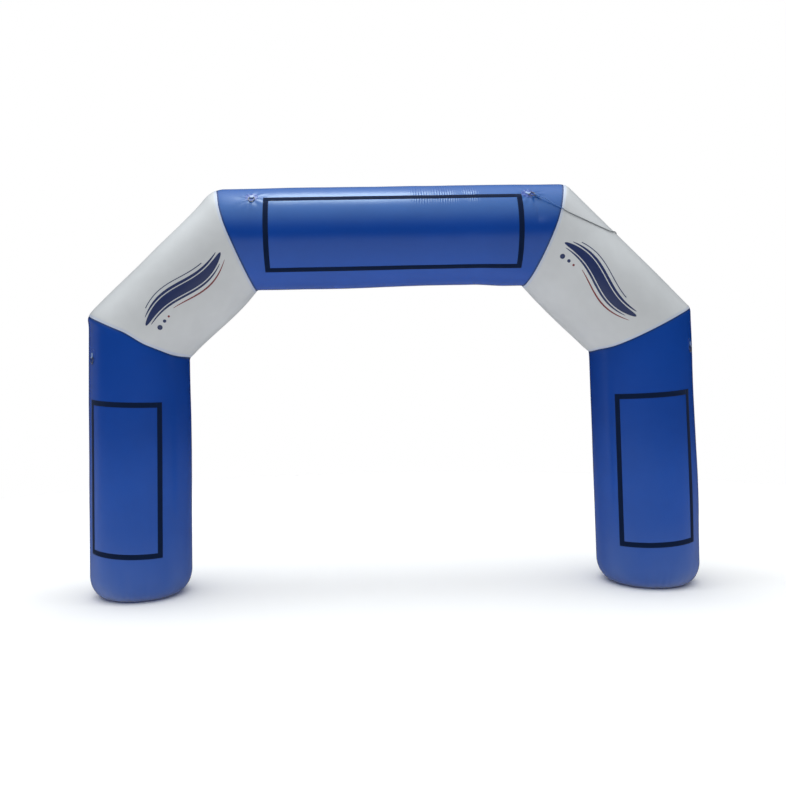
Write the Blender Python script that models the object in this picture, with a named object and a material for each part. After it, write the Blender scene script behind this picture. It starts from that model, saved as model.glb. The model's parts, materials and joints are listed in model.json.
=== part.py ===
"""Inflatable entrance arch: 6.1 m wide, 4 m high, on welded tubes of PVC cloth about 1 m thick.

Five cloth tubes stand as an arch that faces -Y: two blue legs, two white diagonals and a blue
beam. Each leg is closed by a flat round base. Three black tape frames take banners, four steel
D rings on welded patches take guy ropes, and one guy rope is tied on at the beam's right end.
Metres, +Z up; the origin is on the ground, midway between the legs.
"""
import math

import bmesh
import bpy
from mathutils import Matrix, Vector

# Arch: the tubes' centre lines, in the plane y = 0
TUBE_RADIUS = 0.494
FOOT_X = 2.566            # centre of a leg on the ground
SHOULDER_X = 2.506        # where a leg meets its diagonal
SHOULDER_Z = 2.547
CORNER_X = 1.540          # where a diagonal meets the beam
TOP_Z = 3.506

# Cloth
GAP = 0.0003              # between pieces that touch
WALL = 0.001              # coated cloth
SEGMENTS = 48             # flat facets round a tube
FACET = 2 * math.pi / SEGMENTS
MERGE = 0.00001           # corners closer than this are one
SHARP_EDGE = math.radians(40)
FOOT_ROUND_OUT = 0.16     # the leg's rounded lower edge, across
FOOT_ROUND_UP = 0.22      # and upwards
FOOT_ROUND_STEPS = 6

# Tape frames: angles turn about a tube from its front (-Y) towards its outer side
TAPE_WIDTH = 0.050
TAPE_THICKNESS = 0.001
FRAME_ARC = 0.780         # a frame's size round the tube
BEAM_FRAME_LEFT = -1.215  # the beam's frame, from end to end along X
BEAM_FRAME_RIGHT = 1.245
BEAM_FRAME_TURN = math.radians(-3.2)
LEG_FRAME_LOW = 0.430
LEG_FRAME_HIGH = 1.915
LEFT_LEG_FRAME_TURN = math.radians(7.3)     # both leg frames face a little towards -X
RIGHT_LEG_FRAME_TURN = math.radians(-5.1)
LEVEL = (0, 0)
LEFT_LEG_FRAME_RISE = (0, 0.040)            # how far above level a frame's inner and outer
RIGHT_LEG_FRAME_RISE = (-0.012, 0.026)      # edges are sewn; it bends up towards the outer one

# D rings with their patches and tabs
PATCH_HALF = 0.060
PATCH_SHIFT = 0.018       # its middle lies under the tab, this far behind the ring's bar
PATCH_CELLS = 6
PATCH_ROUNDNESS = 0.4     # 0 is square, 0.5 is round
PATCH_THICKNESS = 0.0015
PATCH_LIFT = 0.0005
PATCH_TOP = PATCH_LIFT + PATCH_THICKNESS
TAB_WIDTH = 0.030
TAB_LENGTH = 0.044
TAB_THICKNESS = 0.0015
TAB_SLOPE = 0.012         # where the tab's upper layer comes down from the ring
TAB_SLOPE_STEPS = 6
TAB_FLAT_STEPS = 3
WIRE_RADIUS = 0.0035
RING_HALF_WIDTH = 0.0285  # on the wire's centre line
RING_REACH = 0.059
RING_CORNER = 0.005
RING_BENDS = 18
TAB_EYE_RADIUS = WIRE_RADIUS + 2 * GAP + TAB_THICKNESS / 2
TAB_LOW = PATCH_TOP + GAP + TAB_THICKNESS / 2
TAB_HIGH = TAB_LOW + TAB_THICKNESS + GAP
BAR_HEIGHT = TAB_LOW + TAB_EYE_RADIUS
BEAM_RING_X = 1.325
BEAM_RING_ANGLE = math.radians(41.5)
LEG_RING_Z = 2.355
LEG_RING_ANGLE = math.radians(50)

# Guy rope
ROPE_RADIUS = 0.004
ROPE_LIFT = ROPE_RADIUS + 0.0015     # its centre line above the cloth
ROPE_HEADING = math.radians(-35)     # from the beam's right ring, against the beam's axis
LOOP_CLEARANCE = 0.0004              # between the loop and the ring's wire
LOOP_LIFT = 0.0006                   # between the loop and the cloth under it
LOOP_RADIUS = WIRE_RADIUS + LOOP_CLEARANCE + ROPE_RADIUS
LOOP_NECK = 0.86                     # the loop narrows towards its knot
LOOP_LENGTH = 0.018                  # from the ring's bow to the knot
TIED_RING_HEIGHT = LOOP_LIFT + ROPE_RADIUS + LOOP_RADIUS   # the bow, with rope under it
KNOT_RADIUS = 0.011
KNOT_LENGTH = 0.030
KNOT_EDGE = 0.17                     # its rounded rim, as a share of its radius
KNOT_START = RING_REACH + LOOP_LENGTH                      # from the ring's bar
COIL_X = 2.449
COIL_Y = 0.665
COIL_INNER_RADIUS = 0.035
COIL_TURNS_WIDE = 2
COIL_TURNS_HIGH = 2
COIL_OUTER_RADIUS = COIL_INNER_RADIUS + COIL_TURNS_WIDE * 2 * ROPE_RADIUS
COIL_OFF_GROUND = 0.0005
END_KNOT_RADIUS = 0.0078
END_KNOT_LENGTH = 0.018

# It leaves its knot straight, for these lengths
ROPE_FROM_KNOT = (0, 0.012, 0.024)

# then over the beam: (along from its start, angle in degrees, lift)
ROPE_ON_BEAM = (
    (2.997, 31.1, 0.0200),
    (3.040, 27.5, 0.0148),
    (3.084, 24.0, 0.0100),
    (3.130, 20.6, 0.0070),
    (3.155, 18.9, 0.0060),
)
# over the right diagonal, from its upper end down: (along from its start, angle in degrees)
ROPE_ON_DIAGONAL = (
    (1.382, 20.5),
    (1.281, 25.4),
    (1.208, 29.5),
    (1.100, 36.2),
    (1.018, 42.4),
    (0.943, 49.2),
    (0.918, 54.0),
    (0.898, 60.0),
    (0.879, 67.0),
    (0.857, 75.0),
    (0.823, 84.0),
    (0.778, 93.5),
    (0.724, 103.5),
    (0.659, 114.0),
    (0.585, 125.0),
    (0.507, 136.0),
    (0.425, 147.0),
    (0.341, 157.5),
    (0.248, 168.5),
    (0.149, 180.0),
)
# and its free fall behind the right leg, to the coil: (x, y, z)
ROPE_HANGING = (
    (2.4000, 0.4997, 2.5000),
    (2.4000, 0.4999, 2.0500),
    (2.4000, 0.5000, 1.5000),
    (2.4000, 0.5000, 0.9500),
    (2.4000, 0.5000, 0.4500),
    (2.4000, 0.5005, 0.1800),
    (2.4000, 0.5035, 0.0750),
    (2.4000, 0.5150, 0.0320),
    (2.4005, 0.5400, 0.0100),
    (2.4015, 0.5750, 0.0050),
    (2.4020, 0.6050, 0.0046),
    (2.4020, 0.6360, 0.0046),
)
ROPE_STEPS = 2            # parts that each step of the route is read in


class Tube:
    """A straight run of tube, from start to end, with its outer side facing out."""

    def __init__(self, name, start, end, out, level=False):
        self.name = name
        self.start = Vector(start)
        self.end = Vector(end)
        self.out = Vector(out).normalized()
        run = self.end - self.start
        # a leg's sections are level, so that its base is flat on the ground
        self.axis = Vector((0, 0, 1)) if level else run.normalized()
        self.length = run.dot(self.axis)
        self.lean = run.dot(self.out) / self.length
        local_y = self.axis.cross(self.out)
        self.front = -1 if local_y.y > 0 else 1
        columns = Matrix((self.out, local_y, self.axis)).transposed()
        self.matrix = Matrix.Translation(self.start) @ columns.to_4x4()

    def local(self, along, angle, radius):
        """A point in the tube's own frame: X out, Z along, angle turned from the front."""
        across = radius * math.sin(angle) + self.lean * along
        return Vector((across, self.front * radius * math.cos(angle), along))

    def world(self, along, angle, lift):
        return self.matrix @ self.local(along, angle, TUBE_RADIUS + lift)

    def into(self, at_end):
        """The direction from one of its ends into the tube."""
        run = (self.end - self.start).normalized()
        return -run if at_end else run


class Fitting:
    """A place on a tube for a ring: its bar's middle, and the way the ring points."""

    def __init__(self, name, tube, along, angle, heading, ring_height):
        self.name = name
        self.tube = tube
        self.along = along
        self.angle = angle
        self.step_along = math.cos(heading)
        self.step_round = math.sin(heading)
        self.ring_height = ring_height

    def local(self, across, toward, height):
        """A point in the tube's frame, from sizes laid flat on the cloth at the fitting."""
        along = self.along + toward * self.step_along - across * self.step_round
        arc = toward * self.step_round + across * self.step_along
        return self.tube.local(along, self.angle + arc / TUBE_RADIUS, TUBE_RADIUS + height)

    def world(self, across, toward, height):
        return self.tube.matrix @ self.local(across, toward, height)


# ---------------------------------------------------------------- scene and materials

def remove_old_objects():
    for old in list(bpy.data.objects):
        bpy.data.objects.remove(old, do_unlink=True)


def new_material(name, color, roughness, metallic=0.0):
    material = bpy.data.materials.new(name)
    material.use_nodes = True
    shader = material.node_tree.nodes["Principled BSDF"]
    shader.inputs["Base Color"].default_value = (*color, 1.0)
    shader.inputs["Roughness"].default_value = roughness
    shader.inputs["Metallic"].default_value = metallic
    return material


def new_materials():
    return {
        "blue": new_material("blue_pvc", (0.022, 0.075, 0.330), 0.25),
        "white": new_material("white_pvc", (0.620, 0.650, 0.690), 0.30),
        "tape": new_material("black_tape", (0.004, 0.008, 0.022), 0.90),
        "steel": new_material("ring_steel", (0.480, 0.490, 0.500), 0.35, 1.0),
        "rope": new_material("grey_rope", (0.110, 0.120, 0.140), 0.80),
    }


def add_object(name, data, material, matrix=None):
    piece = bpy.data.objects.new(name, data)
    data.materials.append(material)
    if matrix is not None:
        piece.matrix_world = matrix
    arch.objects.link(piece)
    return piece


def add_solid(name, bm, material, matrix=None):
    """Turn a finished closed bmesh into a named object, with its faces pointing out."""
    bmesh.ops.recalc_face_normals(bm, faces=bm.faces)
    if bm.calc_volume(signed=True) < 0:
        bmesh.ops.reverse_faces(bm, faces=bm.faces)
    mesh = bpy.data.meshes.new(name)
    bm.to_mesh(mesh)
    bm.free()
    mesh.shade_smooth()
    mesh.set_sharp_from_angle(angle=SHARP_EDGE)
    return add_object(name, mesh, material, matrix)


def add_cord(name, points, radius, material, matrix=None, closed=False):
    """A round wire or rope through the points."""
    curve = bpy.data.curves.new(name, "CURVE")
    curve.dimensions = "3D"
    curve.bevel_depth = radius
    curve.bevel_resolution = 2
    curve.use_fill_caps = not closed
    spline = curve.splines.new("POLY")
    spline.points.add(len(points) - 1)
    for target, point in zip(spline.points, points):
        target.co = (*point, 1.0)
    spline.use_cyclic_u = closed
    return add_object(name, curve, material, matrix)


# ---------------------------------------------------------------- cloth tubes

def straight_profile(tube):
    """The wall's section, as (radius, along) points: a plain length of tube."""
    inside = TUBE_RADIUS - WALL
    length = tube.length
    return [(TUBE_RADIUS, 0), (TUBE_RADIUS, length), (inside, length), (inside, 0)]


def leg_profile(tube):
    """The wall's section of a leg, whose lower edge rounds in to the base."""
    turns = [math.pi / 2 * step / FOOT_ROUND_STEPS for step in range(FOOT_ROUND_STEPS + 1)]
    flat = TUBE_RADIUS - FOOT_ROUND_OUT
    outside = [(flat + FOOT_ROUND_OUT * math.sin(turn),
                FOOT_ROUND_UP * (1 - math.cos(turn))) for turn in turns]
    inside = [(flat + (FOOT_ROUND_OUT - WALL) * math.sin(turn),
               FOOT_ROUND_UP - (FOOT_ROUND_UP - WALL) * math.cos(turn)) for turn in turns]
    top = [(TUBE_RADIUS, tube.length), (TUBE_RADIUS - WALL, tube.length)]
    return outside + top + inside[::-1]


def turn_profile(profile):
    """Turn a closed profile once round the tube's axis."""
    bm = bmesh.new()
    corners = [bm.verts.new((radius, 0, along)) for radius, along in profile]
    edges = [bm.edges.new(pair) for pair in zip(corners, corners[1:] + corners[:1])]
    bmesh.ops.spin(bm, geom=corners + edges, cent=(0, 0, 0), axis=(0, 0, 1),
                   angle=2 * math.pi, steps=SEGMENTS, use_merge=True)
    bmesh.ops.remove_doubles(bm, verts=bm.verts, dist=MERGE)
    return bm


def lean_over(bm, tube):
    for corner in bm.verts:
        corner.co.x += tube.lean * corner.co.z


def mitre(bm, tube, at_end, neighbour, neighbour_at_end):
    """Slide one end's corners along the tube, onto the plane halfway to its neighbour."""
    plane = (tube.into(at_end) - neighbour.into(neighbour_at_end)).normalized()
    normal = tube.matrix.to_3x3().inverted() @ plane
    along = tube.length if at_end else 0
    joint = tube.local(along, 0, 0)
    run = Vector((tube.lean, 0, 1))
    for corner in bm.verts:
        if abs(corner.co.z - along) < MERGE:
            short = GAP / 2 - (corner.co - joint).dot(normal)
            corner.co += run * (short / run.dot(normal))


def build_leg(tube, diagonal):
    bm = turn_profile(leg_profile(tube))
    lean_over(bm, tube)
    mitre(bm, tube, True, diagonal, False)
    add_solid(tube.name, bm, paint["blue"], tube.matrix)


def build_diagonal(tube, leg, beam, beam_at_end):
    bm = turn_profile(straight_profile(tube))
    mitre(bm, tube, False, leg, True)
    mitre(bm, tube, True, beam, beam_at_end)
    add_solid(tube.name, bm, paint["white"], tube.matrix)


def build_beam(tube, left, right):
    bm = turn_profile(straight_profile(tube))
    mitre(bm, tube, False, left, True)
    mitre(bm, tube, True, right, True)
    add_solid(tube.name, bm, paint["blue"], tube.matrix)


def build_base(leg, name):
    """The flat round panel that closes a leg on the ground."""
    bm = bmesh.new()
    radius = TUBE_RADIUS - FOOT_ROUND_OUT - GAP
    lift = Matrix.Translation((0, 0, WALL / 2))
    bmesh.ops.create_cone(bm, cap_ends=True, segments=SEGMENTS, radius1=radius,
                          radius2=radius, depth=WALL, matrix=lift)
    add_solid(name, bm, paint["blue"], Matrix.Translation(leg.start))


# ---------------------------------------------------------------- tape frames

def facet_radius(angle, lift):
    """How far from the axis a surface lies that clears the tube's flat facets evenly."""
    from_middle = angle % FACET - FACET / 2
    return (TUBE_RADIUS * math.cos(FACET / 2) + lift) / math.cos(from_middle)


def strip_angles(first, last):
    """Both edges of a strip, and the tube's own facet corners between them."""
    low = math.floor(first / FACET) + 1
    high = math.ceil(last / FACET)
    return [first] + [step * FACET for step in range(low, high)] + [last]


def build_tape(name, tube, start, end, first, last, rise):
    """A strip of tape on a tube: from start to end along it, first to last round it."""
    bm = bmesh.new()
    angles = strip_angles(first, last)
    inside = [tube.local(start + rise(angle), angle, facet_radius(angle, GAP))
              for angle in angles]
    outside = [tube.local(start + rise(angle), angle, facet_radius(angle, GAP + TAPE_THICKNESS))
               for angle in angles]
    rails = [(bm.verts.new(low), bm.verts.new(high)) for low, high in zip(inside, outside)]
    section = []
    for near, far in zip(rails, rails[1:]):
        section.append(bm.faces.new((near[0], near[1], far[1])))
        section.append(bm.faces.new((near[0], far[1], far[0])))
    raised = bmesh.ops.extrude_face_region(bm, geom=section)["geom"]
    moved = [item for item in raised if isinstance(item, bmesh.types.BMVert)]
    run = Vector((tube.lean, 0, 1)) * (end - start)
    bmesh.ops.translate(bm, verts=moved, vec=run)
    add_solid(name, bm, paint["tape"], tube.matrix)


def build_frame(name, tube, start, end, turn, edges_rise):
    """Four strips: two along the tube at full length, two round it between them."""
    def rise(angle):
        part = (angle - inner) / (outer - inner)
        return edges_rise[0] + (edges_rise[1] - edges_rise[0]) * part ** 2

    reach = FRAME_ARC / 2 / TUBE_RADIUS
    edge = TAPE_WIDTH / TUBE_RADIUS
    spare = GAP / TUBE_RADIUS
    inner = turn - reach
    outer = turn + reach
    build_tape(name + "_inner", tube, start, end, inner, inner + edge, rise)
    build_tape(name + "_outer", tube, start, end, outer - edge, outer, rise)
    between = (inner + edge + spare, outer - edge - spare)
    build_tape(name + "_start", tube, start, start + TAPE_WIDTH, *between, rise)
    build_tape(name + "_end", tube, end - TAPE_WIDTH, end, *between, rise)


# ---------------------------------------------------------------- rings and their holders

def wrap(bm, fitting):
    """Lay a flat-modelled piece (across, toward, height) on its tube."""
    for corner in bm.verts:
        corner.co = fitting.local(*corner.co)


def thicken(bm, faces, offset):
    raised = bmesh.ops.extrude_face_region(bm, geom=faces)["geom"]
    moved = [item for item in raised if isinstance(item, bmesh.types.BMVert)]
    bmesh.ops.translate(bm, verts=moved, vec=offset)


def build_patch(fitting):
    """The welded patch, a square with well rounded corners."""
    bm = bmesh.new()
    bmesh.ops.create_grid(bm, x_segments=PATCH_CELLS, y_segments=PATCH_CELLS, size=1.0)
    for corner in bm.verts:
        x, y = corner.co.x, corner.co.y
        corner.co.x = PATCH_HALF * x * math.sqrt(1 - PATCH_ROUNDNESS * y * y)
        corner.co.y = PATCH_HALF * y * math.sqrt(1 - PATCH_ROUNDNESS * x * x) - PATCH_SHIFT
        corner.co.z = PATCH_LIFT
    thicken(bm, list(bm.faces), (0, 0, PATCH_THICKNESS))
    wrap(bm, fitting)
    add_solid(fitting.name + "_patch", bm, paint["blue"], fitting.tube.matrix)


def tab_path():
    """The tab's middle line, as (toward, height): under the bar, round it and back."""
    lower = [(-TAB_LENGTH * (1 - step / TAB_FLAT_STEPS), TAB_LOW)
             for step in range(TAB_FLAT_STEPS)]
    turns = [math.radians(-90 + 20 * step) for step in range(10)]
    eye = [(TAB_EYE_RADIUS * math.cos(turn), BAR_HEIGHT + TAB_EYE_RADIUS * math.sin(turn))
           for turn in turns]
    top = BAR_HEIGHT + TAB_EYE_RADIUS
    parts = [step / TAB_SLOPE_STEPS for step in range(1, TAB_SLOPE_STEPS + 1)]
    slope = [(-TAB_SLOPE * part,
              TAB_HIGH + (top - TAB_HIGH) * (1 + math.cos(math.pi * part)) / 2)
             for part in parts]
    rest = (TAB_LENGTH - TAB_SLOPE) / TAB_FLAT_STEPS
    upper = [(-TAB_SLOPE - rest * step, TAB_HIGH) for step in range(1, TAB_FLAT_STEPS + 1)]
    return [Vector(point) for point in lower + eye + slope + upper]


def build_tab(fitting):
    """A folded strap that holds the ring's bar."""
    path = tab_path()
    bm = bmesh.new()
    rails = []
    for index, point in enumerate(path):
        before = path[max(index - 1, 0)]
        after = path[min(index + 1, len(path) - 1)]
        run = (after - before).normalized()
        half = Vector((-run.y, run.x)) * TAB_THICKNESS / 2
        pair = (point + half, point - half)
        rails.append([bm.verts.new((-TAB_WIDTH / 2, spot.x, spot.y)) for spot in pair])
    section = [bm.faces.new((near[0], near[1], far[1], far[0]))
               for near, far in zip(rails, rails[1:])]
    thicken(bm, section, (TAB_WIDTH, 0, 0))
    wrap(bm, fitting)
    add_solid(fitting.name + "_tab", bm, paint["blue"], fitting.tube.matrix)


def ring_outline():
    """The D ring's centre line in its own plane: bar on the X axis, bow towards +Y."""
    inset = RING_HALF_WIDTH - RING_CORNER
    turns = [math.radians(30 * step) for step in range(3)]
    corner = [(inset + RING_CORNER * math.sin(turn), RING_CORNER * (1 - math.cos(turn)))
              for turn in turns]
    first = math.asin(RING_CORNER / RING_REACH)
    step_angle = (math.pi - 2 * first) / RING_BENDS
    bends = [first + step_angle * step for step in range(RING_BENDS + 1)]
    bow = [(RING_HALF_WIDTH * math.cos(bend), RING_REACH * math.sin(bend)) for bend in bends]
    mirrored = [(-x, y) for x, y in reversed(corner)]
    return [(x, y, 0.0) for x, y in corner + bow + mirrored]


def ring_matrix(fitting):
    """Where the ring lies: bar in the tab's eye, bow at the fitting's ring height."""
    bar = fitting.world(0, 0, BAR_HEIGHT)
    toward = fitting.world(0, RING_REACH, fitting.ring_height) - bar
    across = fitting.world(RING_REACH, 0, BAR_HEIGHT) - fitting.world(-RING_REACH, 0, BAR_HEIGHT)
    toward.normalize()
    across.normalize()
    normal = across.cross(toward).normalized()
    return Matrix.Translation(bar) @ Matrix((across, toward, normal)).transposed().to_4x4()


def build_ring(fitting):
    add_cord(fitting.name + "_ring", ring_outline(), WIRE_RADIUS, paint["steel"],
             ring_matrix(fitting), closed=True)


def build_fitting(fitting):
    build_patch(fitting)
    build_tab(fitting)
    build_ring(fitting)


# ---------------------------------------------------------------- guy rope

def build_rope_loop(tied):
    """The rope's bight through the ring, both ends on the knot."""
    spread = KNOT_RADIUS / 2
    halfway = (KNOT_START + RING_REACH) / 2
    turns = [math.radians(90 + 15 * step) for step in range(13)]
    bend = [(0, RING_REACH + LOOP_RADIUS * math.cos(turn), LOOP_RADIUS * math.sin(turn))
            for turn in turns]
    above = [(0, KNOT_START - GAP, spread), (0, KNOT_START - ROPE_RADIUS, spread),
             (0, halfway, LOOP_RADIUS * LOOP_NECK)]
    below = [(0, y, -z) for x, y, z in reversed(above)]
    add_cord("guy_rope_loop", above + bend + below, ROPE_RADIUS, paint["rope"], tied)


def build_barrel(name, radius, length, matrix):
    """A knot's outer shape: a short barrel along Y, with rounded ends."""
    bm = bmesh.new()
    stand = Matrix.Rotation(math.radians(90), 4, "X")
    bmesh.ops.create_cone(bm, cap_ends=True, segments=16, radius1=radius, radius2=radius,
                          depth=length, matrix=stand)
    rims = [edge for edge in bm.edges
            if abs(edge.verts[0].co.y - edge.verts[1].co.y) < MERGE]
    bmesh.ops.bevel(bm, geom=rims, offset=radius * KNOT_EDGE, segments=2, profile=0.5,
                    affect="EDGES")
    add_solid(name, bm, paint["rope"], matrix)


def build_rope_knot(tied):
    middle = Matrix.Translation((0, KNOT_START + KNOT_LENGTH / 2, 0))
    build_barrel("guy_rope_knot", KNOT_RADIUS, KNOT_LENGTH, tied @ middle)


def rope_route(tied, beam, diagonal):
    """The points that the rope passes: over the cloth, then hanging to its coil."""
    leave = KNOT_START + KNOT_LENGTH + GAP
    start = [tied @ Vector((0, leave + step, 0)) for step in ROPE_FROM_KNOT]
    on_beam = [beam.world(along, math.radians(angle), lift)
               for along, angle, lift in ROPE_ON_BEAM]
    on_diagonal = [diagonal.world(along, math.radians(angle), ROPE_LIFT)
                   for along, angle in ROPE_ON_DIAGONAL]
    hanging = [Vector(point) for point in ROPE_HANGING]
    return start + on_beam + on_diagonal + hanging


def smooth_between(before, near, far, after, part):
    """A point on the smooth curve between near and far (Catmull-Rom)."""
    squared = part * part
    cubed = squared * part
    return 0.5 * (2 * near + (far - before) * part
                  + (2 * before - 5 * near + 4 * far - after) * squared
                  + (3 * near - before - 3 * far + after) * cubed)


def smooth_route(route):
    """Read the curve through the route at even parts of each step."""
    points = []
    for index in range(len(route) - 1):
        before = route[max(index - 1, 0)]
        after = route[min(index + 2, len(route) - 1)]
        points += [smooth_between(before, route[index], route[index + 1], after,
                                  part / ROPE_STEPS) for part in range(ROPE_STEPS)]
    return points + [route[-1]]


def build_rope_coil():
    """The spare length, wound flat on the ground behind the right leg."""
    low = COIL_OFF_GROUND
    high = low + COIL_TURNS_HIGH * 2 * ROPE_RADIUS
    edge = ROPE_RADIUS
    section = [(COIL_INNER_RADIUS, low + edge), (COIL_INNER_RADIUS + edge, low),
               (COIL_OUTER_RADIUS - edge, low), (COIL_OUTER_RADIUS, low + edge),
               (COIL_OUTER_RADIUS, high - edge), (COIL_OUTER_RADIUS - edge, high),
               (COIL_INNER_RADIUS + edge, high), (COIL_INNER_RADIUS, high - edge)]
    bm = turn_profile(section)
    add_solid("guy_rope_coil", bm, paint["rope"], Matrix.Translation((COIL_X, COIL_Y, 0)))


def build_rope_end():
    """The stopper knot on the rope's end, inside the coil."""
    reach = COIL_INNER_RADIUS * math.cos(FACET / 2) - GAP
    inset = math.sqrt(reach ** 2 - (END_KNOT_LENGTH / 2) ** 2) - END_KNOT_RADIUS
    middle = Matrix.Translation((COIL_X + inset, COIL_Y, END_KNOT_RADIUS + GAP))
    build_barrel("guy_rope_end_knot", END_KNOT_RADIUS, END_KNOT_LENGTH, middle)


def build_guy_rope(fitting, beam, diagonal):
    tied = ring_matrix(fitting)
    build_rope_loop(tied)
    build_rope_knot(tied)
    points = smooth_route(rope_route(tied, beam, diagonal))
    add_cord("guy_rope", points, ROPE_RADIUS, paint["rope"])
    build_rope_coil()
    build_rope_end()


# ---------------------------------------------------------------- the arch

def arch_tubes():
    """The five tubes; each leg and diagonal starts at its lower end."""
    tubes = {}
    diagonal_out = Vector((TOP_Z - SHOULDER_Z, 0, SHOULDER_X - CORNER_X))
    for side, hand in ((-1, "left"), (1, "right")):
        foot = (side * FOOT_X, 0, 0)
        shoulder = (side * SHOULDER_X, 0, SHOULDER_Z)
        corner = (side * CORNER_X, 0, TOP_Z)
        out = (side * diagonal_out.x, 0, diagonal_out.z)
        tubes["leg_" + hand] = Tube("leg_" + hand, foot, shoulder, (side, 0, 0), level=True)
        tubes["diagonal_" + hand] = Tube("diagonal_" + hand, shoulder, corner, out)
    tubes["beam"] = Tube("beam", (-CORNER_X, 0, TOP_Z), (CORNER_X, 0, TOP_Z), (0, 0, 1))
    return tubes


def build_tubes(tubes):
    for hand, beam_at_end in (("left", False), ("right", True)):
        leg = tubes["leg_" + hand]
        diagonal = tubes["diagonal_" + hand]
        build_leg(leg, diagonal)
        build_diagonal(diagonal, leg, tubes["beam"], beam_at_end)
        build_base(leg, "base_" + hand)
    build_beam(tubes["beam"], tubes["diagonal_left"], tubes["diagonal_right"])


def build_frames(tubes):
    build_frame("beam_tape", tubes["beam"], CORNER_X + BEAM_FRAME_LEFT,
                CORNER_X + BEAM_FRAME_RIGHT, BEAM_FRAME_TURN, LEVEL)
    build_frame("leg_left_tape", tubes["leg_left"], LEG_FRAME_LOW, LEG_FRAME_HIGH,
                LEFT_LEG_FRAME_TURN, LEFT_LEG_FRAME_RISE)
    build_frame("leg_right_tape", tubes["leg_right"], LEG_FRAME_LOW, LEG_FRAME_HIGH,
                RIGHT_LEG_FRAME_TURN, RIGHT_LEG_FRAME_RISE)


def build_fittings(tubes):
    """Hanging rings on the legs and the beam's left end, the tied ring on its right end."""
    down_the_beam = math.radians(-90)
    down_the_leg = math.radians(180)
    resting = PATCH_TOP + GAP + WIRE_RADIUS
    beam = tubes["beam"]
    left = CORNER_X - BEAM_RING_X
    right = CORNER_X + BEAM_RING_X
    tied = Fitting("beam_right", beam, right, BEAM_RING_ANGLE, ROPE_HEADING, TIED_RING_HEIGHT)
    fittings = (
        Fitting("beam_left", beam, left, BEAM_RING_ANGLE, down_the_beam, resting),
        tied,
        Fitting("leg_left", tubes["leg_left"], LEG_RING_Z, LEG_RING_ANGLE, down_the_leg, resting),
        Fitting("leg_right", tubes["leg_right"], LEG_RING_Z, LEG_RING_ANGLE, down_the_leg,
                resting),
    )
    for fitting in fittings:
        build_fitting(fitting)
    return tied


remove_old_objects()
arch = bpy.data.collections.new("inflatable_arch")
bpy.context.scene.collection.children.link(arch)
paint = new_materials()
arch_parts = arch_tubes()
build_tubes(arch_parts)
build_frames(arch_parts)
tied_fitting = build_fittings(arch_parts)
build_guy_rope(tied_fitting, arch_parts["beam"], arch_parts["diagonal_right"])
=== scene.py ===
"""The inflatable arch's visual model: cloth, welds, tapes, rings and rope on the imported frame."""

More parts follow.
